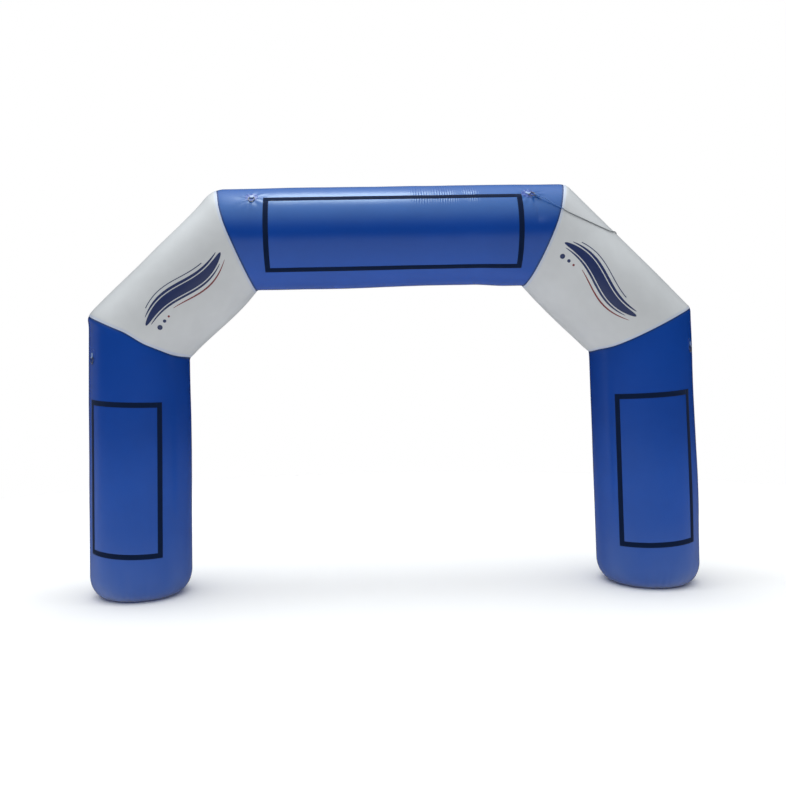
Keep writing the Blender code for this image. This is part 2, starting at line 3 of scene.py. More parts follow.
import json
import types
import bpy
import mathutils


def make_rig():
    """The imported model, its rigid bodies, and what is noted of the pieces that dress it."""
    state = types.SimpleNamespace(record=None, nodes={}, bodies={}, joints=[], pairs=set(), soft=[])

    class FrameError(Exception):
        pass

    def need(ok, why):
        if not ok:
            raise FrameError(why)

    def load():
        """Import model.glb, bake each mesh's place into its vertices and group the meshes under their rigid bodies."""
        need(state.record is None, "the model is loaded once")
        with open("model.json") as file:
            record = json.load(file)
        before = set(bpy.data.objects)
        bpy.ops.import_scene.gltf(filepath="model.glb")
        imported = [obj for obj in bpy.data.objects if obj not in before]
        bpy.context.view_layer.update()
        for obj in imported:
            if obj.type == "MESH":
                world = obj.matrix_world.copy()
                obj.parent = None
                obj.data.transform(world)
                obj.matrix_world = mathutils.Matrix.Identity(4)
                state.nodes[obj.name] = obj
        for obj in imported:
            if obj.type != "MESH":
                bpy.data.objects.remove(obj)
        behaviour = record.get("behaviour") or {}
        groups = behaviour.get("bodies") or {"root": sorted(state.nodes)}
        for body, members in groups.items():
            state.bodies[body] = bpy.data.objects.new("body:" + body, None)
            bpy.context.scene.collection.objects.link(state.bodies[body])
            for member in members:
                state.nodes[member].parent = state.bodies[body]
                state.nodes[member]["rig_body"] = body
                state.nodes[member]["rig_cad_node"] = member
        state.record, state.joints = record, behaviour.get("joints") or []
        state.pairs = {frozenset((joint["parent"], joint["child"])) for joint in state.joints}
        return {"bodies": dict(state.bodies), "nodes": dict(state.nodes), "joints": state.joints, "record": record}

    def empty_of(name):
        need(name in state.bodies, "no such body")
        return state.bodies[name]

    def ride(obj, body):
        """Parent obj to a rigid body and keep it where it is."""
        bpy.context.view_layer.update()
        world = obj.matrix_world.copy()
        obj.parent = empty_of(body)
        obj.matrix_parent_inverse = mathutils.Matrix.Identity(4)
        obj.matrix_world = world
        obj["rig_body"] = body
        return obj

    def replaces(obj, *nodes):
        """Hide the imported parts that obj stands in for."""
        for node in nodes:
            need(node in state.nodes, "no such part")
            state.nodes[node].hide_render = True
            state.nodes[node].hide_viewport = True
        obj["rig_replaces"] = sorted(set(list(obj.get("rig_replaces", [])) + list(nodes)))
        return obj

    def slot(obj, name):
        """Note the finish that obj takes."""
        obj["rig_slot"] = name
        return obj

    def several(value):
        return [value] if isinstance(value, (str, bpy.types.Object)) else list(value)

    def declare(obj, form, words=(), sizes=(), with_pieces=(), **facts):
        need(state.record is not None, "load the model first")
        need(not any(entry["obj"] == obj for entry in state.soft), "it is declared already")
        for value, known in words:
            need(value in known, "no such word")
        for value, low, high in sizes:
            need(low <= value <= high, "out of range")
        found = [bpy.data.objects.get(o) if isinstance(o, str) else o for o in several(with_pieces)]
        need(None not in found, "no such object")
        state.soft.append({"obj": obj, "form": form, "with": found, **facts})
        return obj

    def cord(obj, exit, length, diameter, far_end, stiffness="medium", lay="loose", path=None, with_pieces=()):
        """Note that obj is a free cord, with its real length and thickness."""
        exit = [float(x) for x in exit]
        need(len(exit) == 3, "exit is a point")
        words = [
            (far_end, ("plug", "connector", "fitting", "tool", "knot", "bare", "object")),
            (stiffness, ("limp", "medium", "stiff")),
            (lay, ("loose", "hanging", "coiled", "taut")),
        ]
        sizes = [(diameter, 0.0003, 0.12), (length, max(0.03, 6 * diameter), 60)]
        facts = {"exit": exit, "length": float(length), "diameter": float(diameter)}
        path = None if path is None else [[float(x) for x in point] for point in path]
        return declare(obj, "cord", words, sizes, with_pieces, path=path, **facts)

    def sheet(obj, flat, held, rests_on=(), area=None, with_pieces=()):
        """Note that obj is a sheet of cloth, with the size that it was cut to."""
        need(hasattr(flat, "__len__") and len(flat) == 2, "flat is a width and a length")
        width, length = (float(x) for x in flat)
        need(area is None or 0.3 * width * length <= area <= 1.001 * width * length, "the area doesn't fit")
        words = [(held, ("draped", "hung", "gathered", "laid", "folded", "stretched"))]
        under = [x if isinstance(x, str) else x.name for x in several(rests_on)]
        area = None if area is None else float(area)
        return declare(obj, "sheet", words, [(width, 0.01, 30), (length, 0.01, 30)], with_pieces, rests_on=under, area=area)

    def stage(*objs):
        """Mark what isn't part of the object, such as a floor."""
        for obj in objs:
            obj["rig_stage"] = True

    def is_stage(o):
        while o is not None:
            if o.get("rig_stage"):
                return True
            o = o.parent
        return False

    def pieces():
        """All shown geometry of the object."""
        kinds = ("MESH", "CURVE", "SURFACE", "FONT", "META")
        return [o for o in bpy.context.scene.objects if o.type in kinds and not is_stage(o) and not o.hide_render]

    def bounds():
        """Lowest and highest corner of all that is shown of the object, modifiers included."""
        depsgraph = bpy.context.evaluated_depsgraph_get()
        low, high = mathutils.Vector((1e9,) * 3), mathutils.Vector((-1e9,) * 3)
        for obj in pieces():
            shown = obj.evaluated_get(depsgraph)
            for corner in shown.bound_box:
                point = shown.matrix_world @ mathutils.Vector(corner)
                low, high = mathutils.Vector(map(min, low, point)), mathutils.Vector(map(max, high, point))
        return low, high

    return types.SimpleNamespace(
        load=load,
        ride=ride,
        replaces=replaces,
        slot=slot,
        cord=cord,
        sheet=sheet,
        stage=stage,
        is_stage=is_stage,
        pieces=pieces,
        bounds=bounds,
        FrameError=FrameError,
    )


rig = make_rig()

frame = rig.load()

import json
import math

import bpy
import numpy as np
from mathutils import Matrix

cad_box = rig.bounds()

# ---- sizes, as in the CAD

RADIUS = 0.494            # of every tube
FOOT_X = 2.566
SHOULDER_X = 2.506
SHOULDER_Z = 2.547
CORNER_X = 1.540
TOP_Z = 3.506
FOOT_ROUND_OUT = 0.16
FOOT_ROUND_UP = 0.22
BASE_RADIUS = RADIUS - FOOT_ROUND_OUT

TAPE_WIDTH = 0.050
FRAME_ARC = 0.780
FRAMES = {                # (start and end along the tube, turn, its two edges' rise)
    "beam": (CORNER_X - 1.215, CORNER_X + 1.245, math.radians(-3.2), (0, 0)),
    "leg_left": (0.430, 1.915, math.radians(7.3), (0, 0.040)),
    "leg_right": (0.430, 1.915, math.radians(-5.1), (-0.012, 0.026)),
}

PATCH_HALF = 0.060
PATCH_SHIFT = 0.018
PATCH_ROUNDNESS = 0.4
PATCH_TOP = 0.0020
PATCH_EDGE = 0.0001
PATCH_GROOVE = 0.0005
TAB_WIDTH = 0.030
TAB_LENGTH = 0.044
TAB_THICKNESS = 0.0015
TAB_SLOPE = 0.012
WIRE_RADIUS = 0.0035
WIRE_SIDES = 14
RING_HALF_WIDTH = 0.0285
RING_REACH = 0.059
RING_CORNER = 0.005
GAP = 0.0003
TAB_EYE_RADIUS = WIRE_RADIUS + 2 * GAP + TAB_THICKNESS / 2
TAB_LOW = PATCH_TOP + GAP + TAB_THICKNESS / 2
TAB_HIGH = TAB_LOW + TAB_THICKNESS + GAP
BAR_HEIGHT = TAB_LOW + TAB_EYE_RADIUS
BEAM_RING_X = 1.325
BEAM_RING_ANGLE = math.radians(41.5)
LEG_RING_Z = 2.355
LEG_RING_ANGLE = math.radians(50)

ROPE_RADIUS = 0.004
ROPE_LIFT = ROPE_RADIUS + 0.0015
ROPE_HEADING = math.radians(-35)
LOOP_RADIUS = WIRE_RADIUS + 0.0004 + ROPE_RADIUS
LOOP_NECK = 0.86
TIED_RING_HEIGHT = 0.0006 + ROPE_RADIUS + LOOP_RADIUS
KNOT_RADIUS = 0.011
KNOT_LENGTH = 0.030
KNOT_START = RING_REACH + 0.018
KNOTTED_RADIUS = ROPE_RADIUS * 0.97
BRAID_PITCH = 0.024
BRAID_SIDES = 16
COIL_CENTRE = np.array((2.449, 0.665, 0.0))
COIL_OUTER = 0.047        # the rope's line in the coil's outer and inner turns
COIL_INNER = 0.039
COIL_LOW = 0.0046
COIL_HIGH = 0.0127
COIL_TURNS = 3.34
END_KNOT_RADIUS = 0.0078
END_KNOT_LENGTH = 0.018
END_KNOT_X = 0.0256       # from the coil's centre
KNOT_WRAPS, END_KNOT_WRAPS = 3.4, 1.9
ROPE_LENGTH = 5.9
ROPE_FROM_KNOT = (0, 0.012, 0.024)
ROPE_ON_BEAM = (          # (along from its start, angle in degrees, lift)
    (2.997, 31.1, 0.0200), (3.040, 27.5, 0.0148), (3.084, 24.0, 0.0100),
    (3.130, 20.6, 0.0070), (3.155, 18.9, 0.0060),
)
ROPE_ON_DIAGONAL = (      # (along from its start, angle in degrees)
    (1.382, 20.5), (1.281, 25.4), (1.208, 29.5), (1.100, 36.2), (1.018, 42.4),
    (0.943, 49.2), (0.918, 54.0), (0.898, 60.0), (0.879, 67.0), (0.857, 75.0),
    (0.823, 84.0), (0.778, 93.5), (0.724, 103.5), (0.659, 114.0), (0.585, 125.0),
    (0.507, 136.0), (0.425, 147.0), (0.341, 157.5), (0.248, 168.5), (0.149, 180.0),
)
ROPE_HANGING = (          # (x, y, z)
    (2.4, 0.4997, 2.5), (2.4, 0.4999, 2.05), (2.4, 0.5, 1.5), (2.4, 0.5, 0.95),
    (2.4, 0.5, 0.45), (2.4, 0.5005, 0.18), (2.4, 0.5035, 0.075), (2.4, 0.515, 0.032),
    (2.4005, 0.54, 0.01), (2.4015, 0.575, 0.005), (2.402, 0.605, 0.0046),
    (2.402, 0.636, 0.0046),
)


# ---- small sums

def unit(vector):
    vector = np.asarray(vector, float)
    return vector / np.linalg.norm(vector, axis=-1, keepdims=True)


def ease(value, low, high):
    """0 below low, 1 above high, smooth between."""
    part = np.clip((np.asarray(value, float) - low) / (high - low), 0, 1)
    return part * part * (3 - 2 * part)


def hump(value, middle, half):
    """1 at the middle, falling smoothly to nothing on both sides."""
    return np.exp(-((np.asarray(value, float) - middle) / half) ** 2)


def column(value):
    return np.asarray(value, float)[..., None]


def together(*parts):
    """Arrays side by side, as the last axis."""
    return np.stack(np.broadcast_arrays(*parts), -1)


def distances(line):
    """How far along a line each of its points lies."""
    return np.concatenate([[0], np.cumsum(np.linalg.norm(np.diff(line, axis=0), axis=1))])


def put(name, data):
    """A new object in the scene."""
    made = bpy.data.objects.new(name, data)
    bpy.context.scene.collection.objects.link(made)
    return made


def set_axes(thing, *axes_and_place):
    matrix = np.identity(4)
    matrix[:3] = np.column_stack(axes_and_place)
    thing.matrix_world = Matrix(matrix.tolist())


# ---- camera

CAMERA_PLACE = (-0.4268, -7.7225, 2.0327)
CAMERA_YAW, CAMERA_PITCH, CAMERA_ROLL = 0.0211, -0.0289, -0.0205
CAMERA_LENS = 35.14
CAMERA_SHIFT = (0.0332, 0.0190)


def place_camera():
    """At the photograph's place and angle."""
    ahead = np.array((math.sin(CAMERA_YAW) * math.cos(CAMERA_PITCH),
                      math.cos(CAMERA_YAW) * math.cos(CAMERA_PITCH), math.sin(CAMERA_PITCH)))
    level = np.array((math.cos(CAMERA_YAW), -math.sin(CAMERA_YAW), 0))
    above = np.cross(level, ahead)
    right = level * math.cos(CAMERA_ROLL) + above * math.sin(CAMERA_ROLL)
    up = above * math.cos(CAMERA_ROLL) - level * math.sin(CAMERA_ROLL)
    data = bpy.data.cameras.new("camera")
    camera = put("camera", data)
    set_axes(camera, right, up, -ahead, CAMERA_PLACE)
    data.lens = CAMERA_LENS
    data.shift_x, data.shift_y = CAMERA_SHIFT
    data.clip_end = 200
    bpy.context.scene.camera = camera


# ---- the arch's surface

class Tube:
    """A straight run of tube; angles turn about it from its front (-Y) to its outer side."""

    def __init__(self, start, end, out, level=False):
        self.start = np.array(start, float)
        run = np.array(end, float) - self.start
        self.out = unit(out)
        self.axis = np.array((0.0, 0.0, 1.0)) if level else unit(run)
        self.length = run @ self.axis
        self.run = run / self.length          # the way for one metre along
        self.stretch = np.linalg.norm(self.run)
        side = np.cross(self.axis, self.out)
        self.front = -side if side[1] > 0 else side
        self.joints = []

    def outward(self, angle):
        return column(np.sin(angle)) * self.out + column(np.cos(angle)) * self.front

    def into(self, at_end):
        return unit(-self.run if at_end else self.run)


class Joint:
    """Where a tube meets its neighbour: the mitre, its soft bend and the seam beside it."""

    def __init__(self, tube, at_end, other, other_at_end, shapes, white):
        self.tube, self.other, self.white = tube, other, white
        self.sign = 1 if at_end else -1
        self.along = tube.length if at_end else 0.0
        self.back = tube.into(at_end)
        self.ahead = other.into(other_at_end)
        self.normal = unit(self.back - self.ahead)
        self.seam, self.bend, self.lean = shapes
        tube.joints.append(self)

    def edge(self, angle):
        """The mitre's place along this tube."""
        reach = RADIUS * (self.tube.outward(angle) @ self.normal)
        return self.along - reach / (self.tube.run @ self.normal)

    def past(self, along, angle):
        """How far a place lies past the mitre, on the neighbour, in metres."""
        return (along - self.edge(angle)) * self.sign * self.tube.stretch

    def on_white(self, along, angle):
        """Metres from the mitre, on the white tube; negative on the blue one."""
        past = self.past(along, angle)
        return -past if self.white else past

    def beside_seam(self, along, angle):
        """Metres from the seam; positive is on the blue cloth's side."""
        return -self.on_white(along, angle) - self.seam(latitude(angle))


def latitude(angle):
    """Degrees from the arch's middle plane height: -90 is the inner side, 90 the outer."""
    return np.degrees(np.arcsin(np.clip(np.sin(angle), -1, 1)))


def shoulder_bend(degrees):
    return 0.020 + 0.012 * ease(degrees, 15, 80)


def left_shoulder_lean(on_white, outward):
    reach = (1 - ease(on_white, 0.10, 0.90)) * hump(on_white.clip(None, 0), 0, 0.55)
    outer = -0.006 + 0.026 * ease(on_white, -0.10, 0.10)
    return reach * (outer * ease(outward, 0.2, 0.95) - 0.016 * ease(-outward, 0.2, 0.95))


def right_shoulder_lean(on_white, outward):
    outer = hump(on_white.clip(0, None), 0, 0.30) * hump(on_white.clip(None, 0), 0, 0.35)
    inner = ease(on_white, -0.08, 0.10) * (1 - ease(on_white, 0.30, 0.90))
    return -0.009 * outer * ease(outward, 0.2, 0.95) + 0.010 * inner * ease(-outward, 0.2, 0.95)


def left_top_lean(on_white, outward):
    reach = ease(on_white, -0.05, 0.25) * (1 - ease(on_white, 0.30, 0.90))
    return -0.017 * reach * outward


def right_top_lean(on_white, outward):
    return 0.70 * left_top_lean(on_white, np.minimum(outward, 0))


# (the seam's distance from its mitre at a latitude, the bend's half length there, and how far the
# cloth stands off its straight tube near the joint), all in metres
LEFT_TOP = (
    lambda degrees: 0.036 * ease(degrees, 0, 55) - 0.015 * (1 - ease(degrees, 25, 60)),
    lambda degrees: 0.020 + 0.110 * ease(degrees, 15, 80),
    left_top_lean,
)
RIGHT_TOP = (
    lambda degrees: 0.036 * ease(degrees, 0, 55) - 0.009,
    lambda degrees: 0.020 + 0.035 * ease(degrees, 15, 80),
    right_top_lean,
)
LEFT_SHOULDER = (
    lambda degrees: -0.010 + 0.026 * ease(degrees, -88, -45) - 0.037 * ease(degrees, -22, 8),
    shoulder_bend,
    left_shoulder_lean,
)
RIGHT_SHOULDER = (
    lambda degrees: -0.002 + 0.022 * ease(degrees, -75, -45) - 0.027 * ease(degrees, -40, 40),
    shoulder_bend,
    right_shoulder_lean,
)


def arch_tubes():
    tubes = {"beam": Tube((-CORNER_X, 0, TOP_Z), (CORNER_X, 0, TOP_Z), (0, 0, 1))}
    for side, hand in ((-1, "left"), (1, "right")):
        foot = (side * FOOT_X, 0, 0)
        shoulder = (side * SHOULDER_X, 0, SHOULDER_Z)
        corner = (side * CORNER_X, 0, TOP_Z)
        out = (side * (TOP_Z - SHOULDER_Z), 0, SHOULDER_X - CORNER_X)
        leg = Tube(foot, shoulder, (side, 0, 0), level=True)
        diagonal = Tube(shoulder, corner, out)
        at_end = side > 0
        top, low = (RIGHT_TOP, RIGHT_SHOULDER) if at_end else (LEFT_TOP, LEFT_SHOULDER)
        Joint(leg, True, diagonal, False, low, white=False)
        Joint(diagonal, False, leg, True, low, white=True)
        Joint(diagonal, True, tubes["beam"], at_end, top, white=True)
        Joint(tubes["beam"], at_end, diagonal, True, top, white=False)
        tubes["leg_" + hand] = leg
        tubes["diagonal_" + hand] = diagonal
    return tubes


def wave_table(seed, count, longest, shortest):
    """Plane waves with seeded directions, for even, soft unevenness in space."""
    numbers = np.random.default_rng(seed)
    ways = unit(numbers.normal(size=(count, 3)))
    spans = longest * (shortest / longest) ** np.linspace(0, 1, count)
    return ways * (2 * math.pi / spans)[:, None], numbers.uniform(0, 2 * math.pi, count)


SLOW_WAVES = wave_table(11, 9, 1.3, 0.45)
QUICK_WAVES = wave_table(23, 12, 0.32, 0.14)


def waves(point, table):
    ways, phases = table
    return np.cos(point @ ways.T + phases).mean(-1) * math.sqrt(2)


def cloth_relief(tube, along, angle, point):
    """How far the blown-up cloth stands from its plain tube."""
    relief = 0.0016 * waves(point, SLOW_WAVES) + 0.0005 * waves(point, QUICK_WAVES)
    for joint in tube.joints:
        beside = joint.beside_seam(along, angle)
        near = hump(beside, 0, 0.045)
        gathers = np.cos(angle * 58 + 2.2 * np.sin(angle * 7)) * 0.6 + np.cos(angle * 91 + 1)
        relief = relief - 0.0024 * hump(beside, 0, 0.030)
        relief = relief + 0.00055 * gathers * near * (0.6 + 0.4 * np.sin(angle * 5))
        relief = relief + joint.lean(joint.on_white(along, angle), np.sin(angle))
    if tube in LEGS:
        low = hump(along, 0.03, 0.11)
        folds = np.cos(angle * 34 + 1.5 * np.sin(angle * 5)) + 0.6 * np.cos(angle * 53)
        relief = relief + low * (0.0011 * folds - 0.0015)
    if tube is ARCH["leg_right"]:
        outer = ease(np.sin(angle), 0.2, 0.95)
        relief = relief + outer * (0.012 * hump(along, 0.95, 0.45) - 0.006 * hump(along, 2.1, 0.4))
    if tube is ARCH["beam"]:
        relief = relief + beam_creases(along, angle)
    return relief


UPPER_TAPE = 39.1         # the beam's upper tape, in degrees
PUCKER_PITCH = 0.0235
PUCKER_HEIGHT = 0.0032
RING_PULL = 0.0030
CREASE_DEPTH = 0.0075
HOLLOW_DEPTH = 0.018      # of the beam's underside, towards its right end
CREST_HEIGHT = 0.004


def beam_creases(along, angle):
    """Puckers over the frame's upper tape, and creases that radiate from the rings."""
    x = along - CORNER_X
    degrees = np.degrees(angle)
    off_tape = np.abs(degrees - UPPER_TAPE)
    envelope = ease(off_tape, 1.5, 4.0) * hump(degrees, 52, 13) + 0.8 * hump(degrees, 33, 4)
    envelope = envelope * ease(x, 0.10, 0.30) * (1 - ease(x, 0.72, 0.90))
    ticks = np.sin(x * 2 * math.pi / PUCKER_PITCH + 2.2 * np.sin(x * 9))
    strength = 0.55 + 0.45 * np.sin(x * 23 + 0.05 * degrees)
    relief = PUCKER_HEIGHT * ticks * strength * envelope
    for ring_x, pull in ((BEAM_RING_X, 1.0), (-BEAM_RING_X, 0.6)):
        across = x - ring_x
        round_it = (angle - BEAM_RING_ANGLE) * RADIUS
        distance = np.hypot(across, round_it) + 1e-9
        way = np.arctan2(round_it, across)
        rays = np.cos(way * 9 + 0.8 * np.sin(way * 3))
        star = ease(distance, 0.035, 0.070) * (1 - ease(distance, 0.085, 0.190))
        relief = relief + pull * RING_PULL * rays * star
    bow = x - 1.375 + 0.060 * ease(degrees, 8, 52)
    crease = ease(bow, -0.009, 0.009) * (1 - ease(bow, 0.010, 0.13))
    crease = crease * ease(degrees, 2, 12) * (1 - ease(degrees, 34, 41))
    hollow = ease(-degrees, 15, 75) * ease(x, -0.6, 0.5) * (1 - ease(x, 0.82, 1.16))
    crest = ease(degrees, 45, 80) * (1 - ease(np.abs(x), 1.0, 1.5))
    return relief - CREASE_DEPTH * crease - HOLLOW_DEPTH * hollow + CREST_HEIGHT * crest


def surface(tube, along, angle, lift=0.0, radius=RADIUS):
    """Points on the cloth; past a mitre the place runs on over the neighbouring tube."""
    along, angle, lift, radius = np.broadcast_arrays(along, angle, lift, radius)
    outward = tube.outward(angle)
    point = tube.start + column(along) * tube.run + column(radius) * outward
    for joint in tube.joints:
        past = joint.past(along, angle)
        bend = joint.bend(latitude(angle))
        mitre = tube.start + column(joint.edge(angle)) * tube.run + column(radius) * outward
        softly = (mitre + joint.back * column((bend - past) ** 2 / (4 * bend))
                  + joint.ahead * column((bend + past) ** 2 / (4 * bend)))
        beyond = mitre + joint.ahead * column(past)
        point = np.where(column(past > -bend), softly, point)
        point = np.where(column(past > bend), beyond, point)
        share = column(np.clip((bend + past) / (2 * bend), 0, 1))
        outward = unit(outward * (1 - share) + joint.other.outward(angle) * share)
    height = lift + cloth_relief(tube, along, angle, point)
    return point + outward * column(height)


# ---- meshes

DISC_SIDES = 96


def add_mesh(name, points, faces, material, spots):
    """spots: what the material reads at each point, such as metres round and along the cloth."""
    mesh = bpy.data.meshes.new(name)
    mesh.from_pydata(np.asarray(points, float).reshape(-1, 3).tolist(), [], list(faces))
    layer = mesh.attributes.new("cloth", "FLOAT_VECTOR", "POINT")
    layer.data.foreach_set("vector", np.asarray(spots, np.float32).ravel())
    mesh.shade_smooth()
    mesh.materials.append(material)
    piece = put(name, mesh)
    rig.ride(piece, "root")
    return piece


def stand_for(piece, slot, *nodes):
    """Put a piece in its CAD nodes' place."""
    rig.replaces(piece, *nodes)
    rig.slot(piece, slot)
    return piece


def grid_faces(rows, columns, round_rows=False, round_columns=False, flip=False):
    """Four-sided faces over a grid of rows x columns points."""
    numbers = np.arange(rows * columns).reshape(rows, columns)
    if round_rows:
        numbers = np.vstack([numbers, numbers[:1]])
    if round_columns:
        numbers = np.hstack([numbers, numbers[:, :1]])
    faces = np.stack([numbers[:-1, :-1], numbers[:-1, 1:], numbers[1:, 1:], numbers[1:, :-1]], -1)
    return faces.reshape(-1, 4)[:, ::-1 if flip else 1].tolist()


def disc_faces(rows):
    """Faces of a flat round sheet that looks up, closed at its middle."""
    faces = grid_faces(rows, DISC_SIDES, round_columns=True, flip=True)
    return faces + [list(range(DISC_SIDES))[::-1]]


def sweep(name, line, sections, material, closed=False):
    """A section for each point, carried along a line without twist, capped if it is open."""
    if closed:
        tangents = unit(np.roll(line, -1, 0) - np.roll(line, 1, 0))
    else:
        tangents = unit(np.gradient(line, axis=0))
    side = unit(np.cross(tangents[0], (0.13, 0.21, 0.97)))
    sides = np.empty_like(line)
    for index, tangent in enumerate(tangents):
        side = unit(side - tangent * (side @ tangent))
        sides[index] = side
    ups = np.cross(sides, tangents)
    points = line[:, None] + sides[:, None] * sections[..., :1] + ups[:, None] * sections[..., 1:]
    rows, corners = points.shape[:2]
    faces = grid_faces(rows, corners, round_rows=closed, round_columns=True)
    if not closed:
        faces.append(list(range(corners))[::-1])
        faces.append(list(range((rows - 1) * corners, rows * corners)))
    turn = np.arange(corners) / corners
    spots = together(turn, distances(line)[:, None], 0.0)
    return add_mesh(name, points, faces, material, spots)


def smooth_line(route, steps):
    """The smooth curve through a route's points (Catmull-Rom)."""
    route = np.asarray(route, float)
    before = np.vstack([route[:1], route[:-2]])
    after = np.vstack([route[2:], route[-1:]])
    near, far = route[:-1], route[1:]
    part = (np.arange(steps) / steps)[None, :, None]
    before, near, far, after = (v[:, None] for v in (before, near, far, after))
    line = 0.5 * (2 * near + (far - before) * part
                  + (2 * before - 5 * near + 4 * far - after) * part ** 2
                  + (3 * near - before - 3 * far + after) * part ** 3)
    return np.vstack([line.reshape(-1, 3), route[-1:]])


def even_line(line, step):
    """The line again, with its points evenly apart."""
    along = distances(line)
    places = np.linspace(0, along[-1], int(along[-1] / step) + 1)
    return np.stack([np.interp(places, along, line[:, axis]) for axis in range(3)], -1)


ARCH = arch_tubes()
LEGS = (ARCH["leg_left"], ARCH["leg_right"])


# ---- fittings and rope

class Fitting:
    """A place on a tube for a ring: its bar's middle, and the way the ring points."""

    def __init__(self, name, tube, along, angle, heading, ring_height):
        self.name, self.tube, self.along, self.angle = name, tube, along, angle
        self.cos = math.cos(heading)
        self.sin = math.sin(heading)
        self.ring_height = ring_height

    def place(self, across, toward):
        """The tube's own coordinates of a place laid flat on the cloth at the fitting."""
        across, toward = np.asarray(across, float), np.asarray(toward, float)
        along = self.along + toward * self.cos - across * self.sin
        return along, self.angle + (toward * self.sin + across * self.cos) / RADIUS

    def world(self, across, toward, height):
        return surface(self.tube, *self.place(across, toward), height)

    def ring_frame(self):
        """The ring's own place and axes: bar along the first, bow towards the second."""
        bar = self.world(0, 0, BAR_HEIGHT)
        toward = unit(self.world(0, RING_REACH, self.ring_height) - bar)
        across = self.world(RING_REACH, 0, BAR_HEIGHT) - self.world(-RING_REACH, 0, BAR_HEIGHT)
        across = unit(across - toward * (across @ toward))
        return bar, across, toward, unit(np.cross(across, toward))


def in_frame(ring_frame, points):
    """Points given in a ring's own axes, in the arch's axes."""
    origin, first, second, third = ring_frame
    points = np.asarray(points, float)
    return (origin + column(points[..., 0]) * first + column(points[..., 1]) * second
            + column(points[..., 2]) * third)


def build_fittings():
    resting = PATCH_TOP + GAP + WIRE_RADIUS
    beam = ARCH["beam"]
    rows = (              # name, tube, along it, angle, heading, height of the ring's bow
        ("beam_left", beam, CORNER_X - BEAM_RING_X, BEAM_RING_ANGLE, math.radians(-90), resting),
        ("beam_right", beam, CORNER_X + BEAM_RING_X, BEAM_RING_ANGLE, ROPE_HEADING,
         TIED_RING_HEIGHT),
        ("leg_left", ARCH["leg_left"], LEG_RING_Z, LEG_RING_ANGLE, math.pi, resting),
        ("leg_right", ARCH["leg_right"], LEG_RING_Z, LEG_RING_ANGLE, math.pi, resting),
    )
    return {row[0]: Fitting(*row) for row in rows}


def plain_point(tube, along, degrees, lift):
    """A point over the plain tube, where the CAD puts the rope."""
    outward = tube.outward(math.radians(degrees))
    return tube.start + along * tube.run + (RADIUS + lift) * outward


def coil_line():
    """The rope's spare length: a turn low outside, high outside, high inside, low inside."""
    turn = np.arange(0, COIL_TURNS, 1 / 72)
    angle = math.pi - 2 * math.pi * turn
    shift = ease(turn % 1, 0.78, 0.95)
    in_turn = [np.floor(turn) == number for number in range(3)]
    radius = COIL_INNER + (COIL_OUTER - COIL_INNER) * np.select(in_turn[:2], [1, 1 - shift], 0)
    height = COIL_LOW + (COIL_HIGH - COIL_LOW) * np.select(in_turn, [shift, 1, 1 - shift], 0)
    return COIL_CENTRE + together(radius * np.cos(angle), radius * np.sin(angle), height)


def rope_line(tied):
    """From the knot over beam and diagonal, down behind the leg, round the coil, inwards."""
    leave = KNOT_START + KNOT_LENGTH + GAP
    start = [in_frame(tied, (0, leave + step, 0)) for step in ROPE_FROM_KNOT]
    on_beam = [plain_point(ARCH["beam"], *row) for row in ROPE_ON_BEAM]
    diagonal = ARCH["diagonal_right"]
    on_diagonal = [plain_point(diagonal, *row, ROPE_LIFT) for row in ROPE_ON_DIAGONAL]
    hanging = [np.array(point) for point in ROPE_HANGING]
    open_part = smooth_line(start + on_beam + on_diagonal + hanging, 24)
    coil = coil_line()
    knot = COIL_CENTRE + np.array((END_KNOT_X, END_KNOT_LENGTH / 2 + 0.001, END_KNOT_RADIUS + GAP))
    inwards = smooth_line([coil[-6], coil[-1], (coil[-1] + knot) / 2 + (0.0035, 0, -0.0008),
                           knot, knot + (0, -0.006, 0)], 12)
    # a straight along +Y joins the route's last point and the coil's first
    return even_line(np.vstack([open_part, coil[1:-6], inwards]), 0.003)


def braided(name, line, radius, *nodes):
    """A round braided rope along a line, with the braid's crossing ridges in its surface."""
    turns = np.arange(BRAID_SIDES) * 2 * math.pi / BRAID_SIDES
    twist = distances(line)[:, None] * 2 * math.pi / BRAID_PITCH
    ridges = np.maximum(np.cos(4 * turns + twist), np.cos(4 * turns - twist))
    reach = radius * (0.975 + 0.045 * ridges)
    sections = together(np.cos(turns) * reach, np.sin(turns) * reach)
    return stand_for(sweep(name, line, sections, PAINT["rope"]), "guy_rope", *nodes)


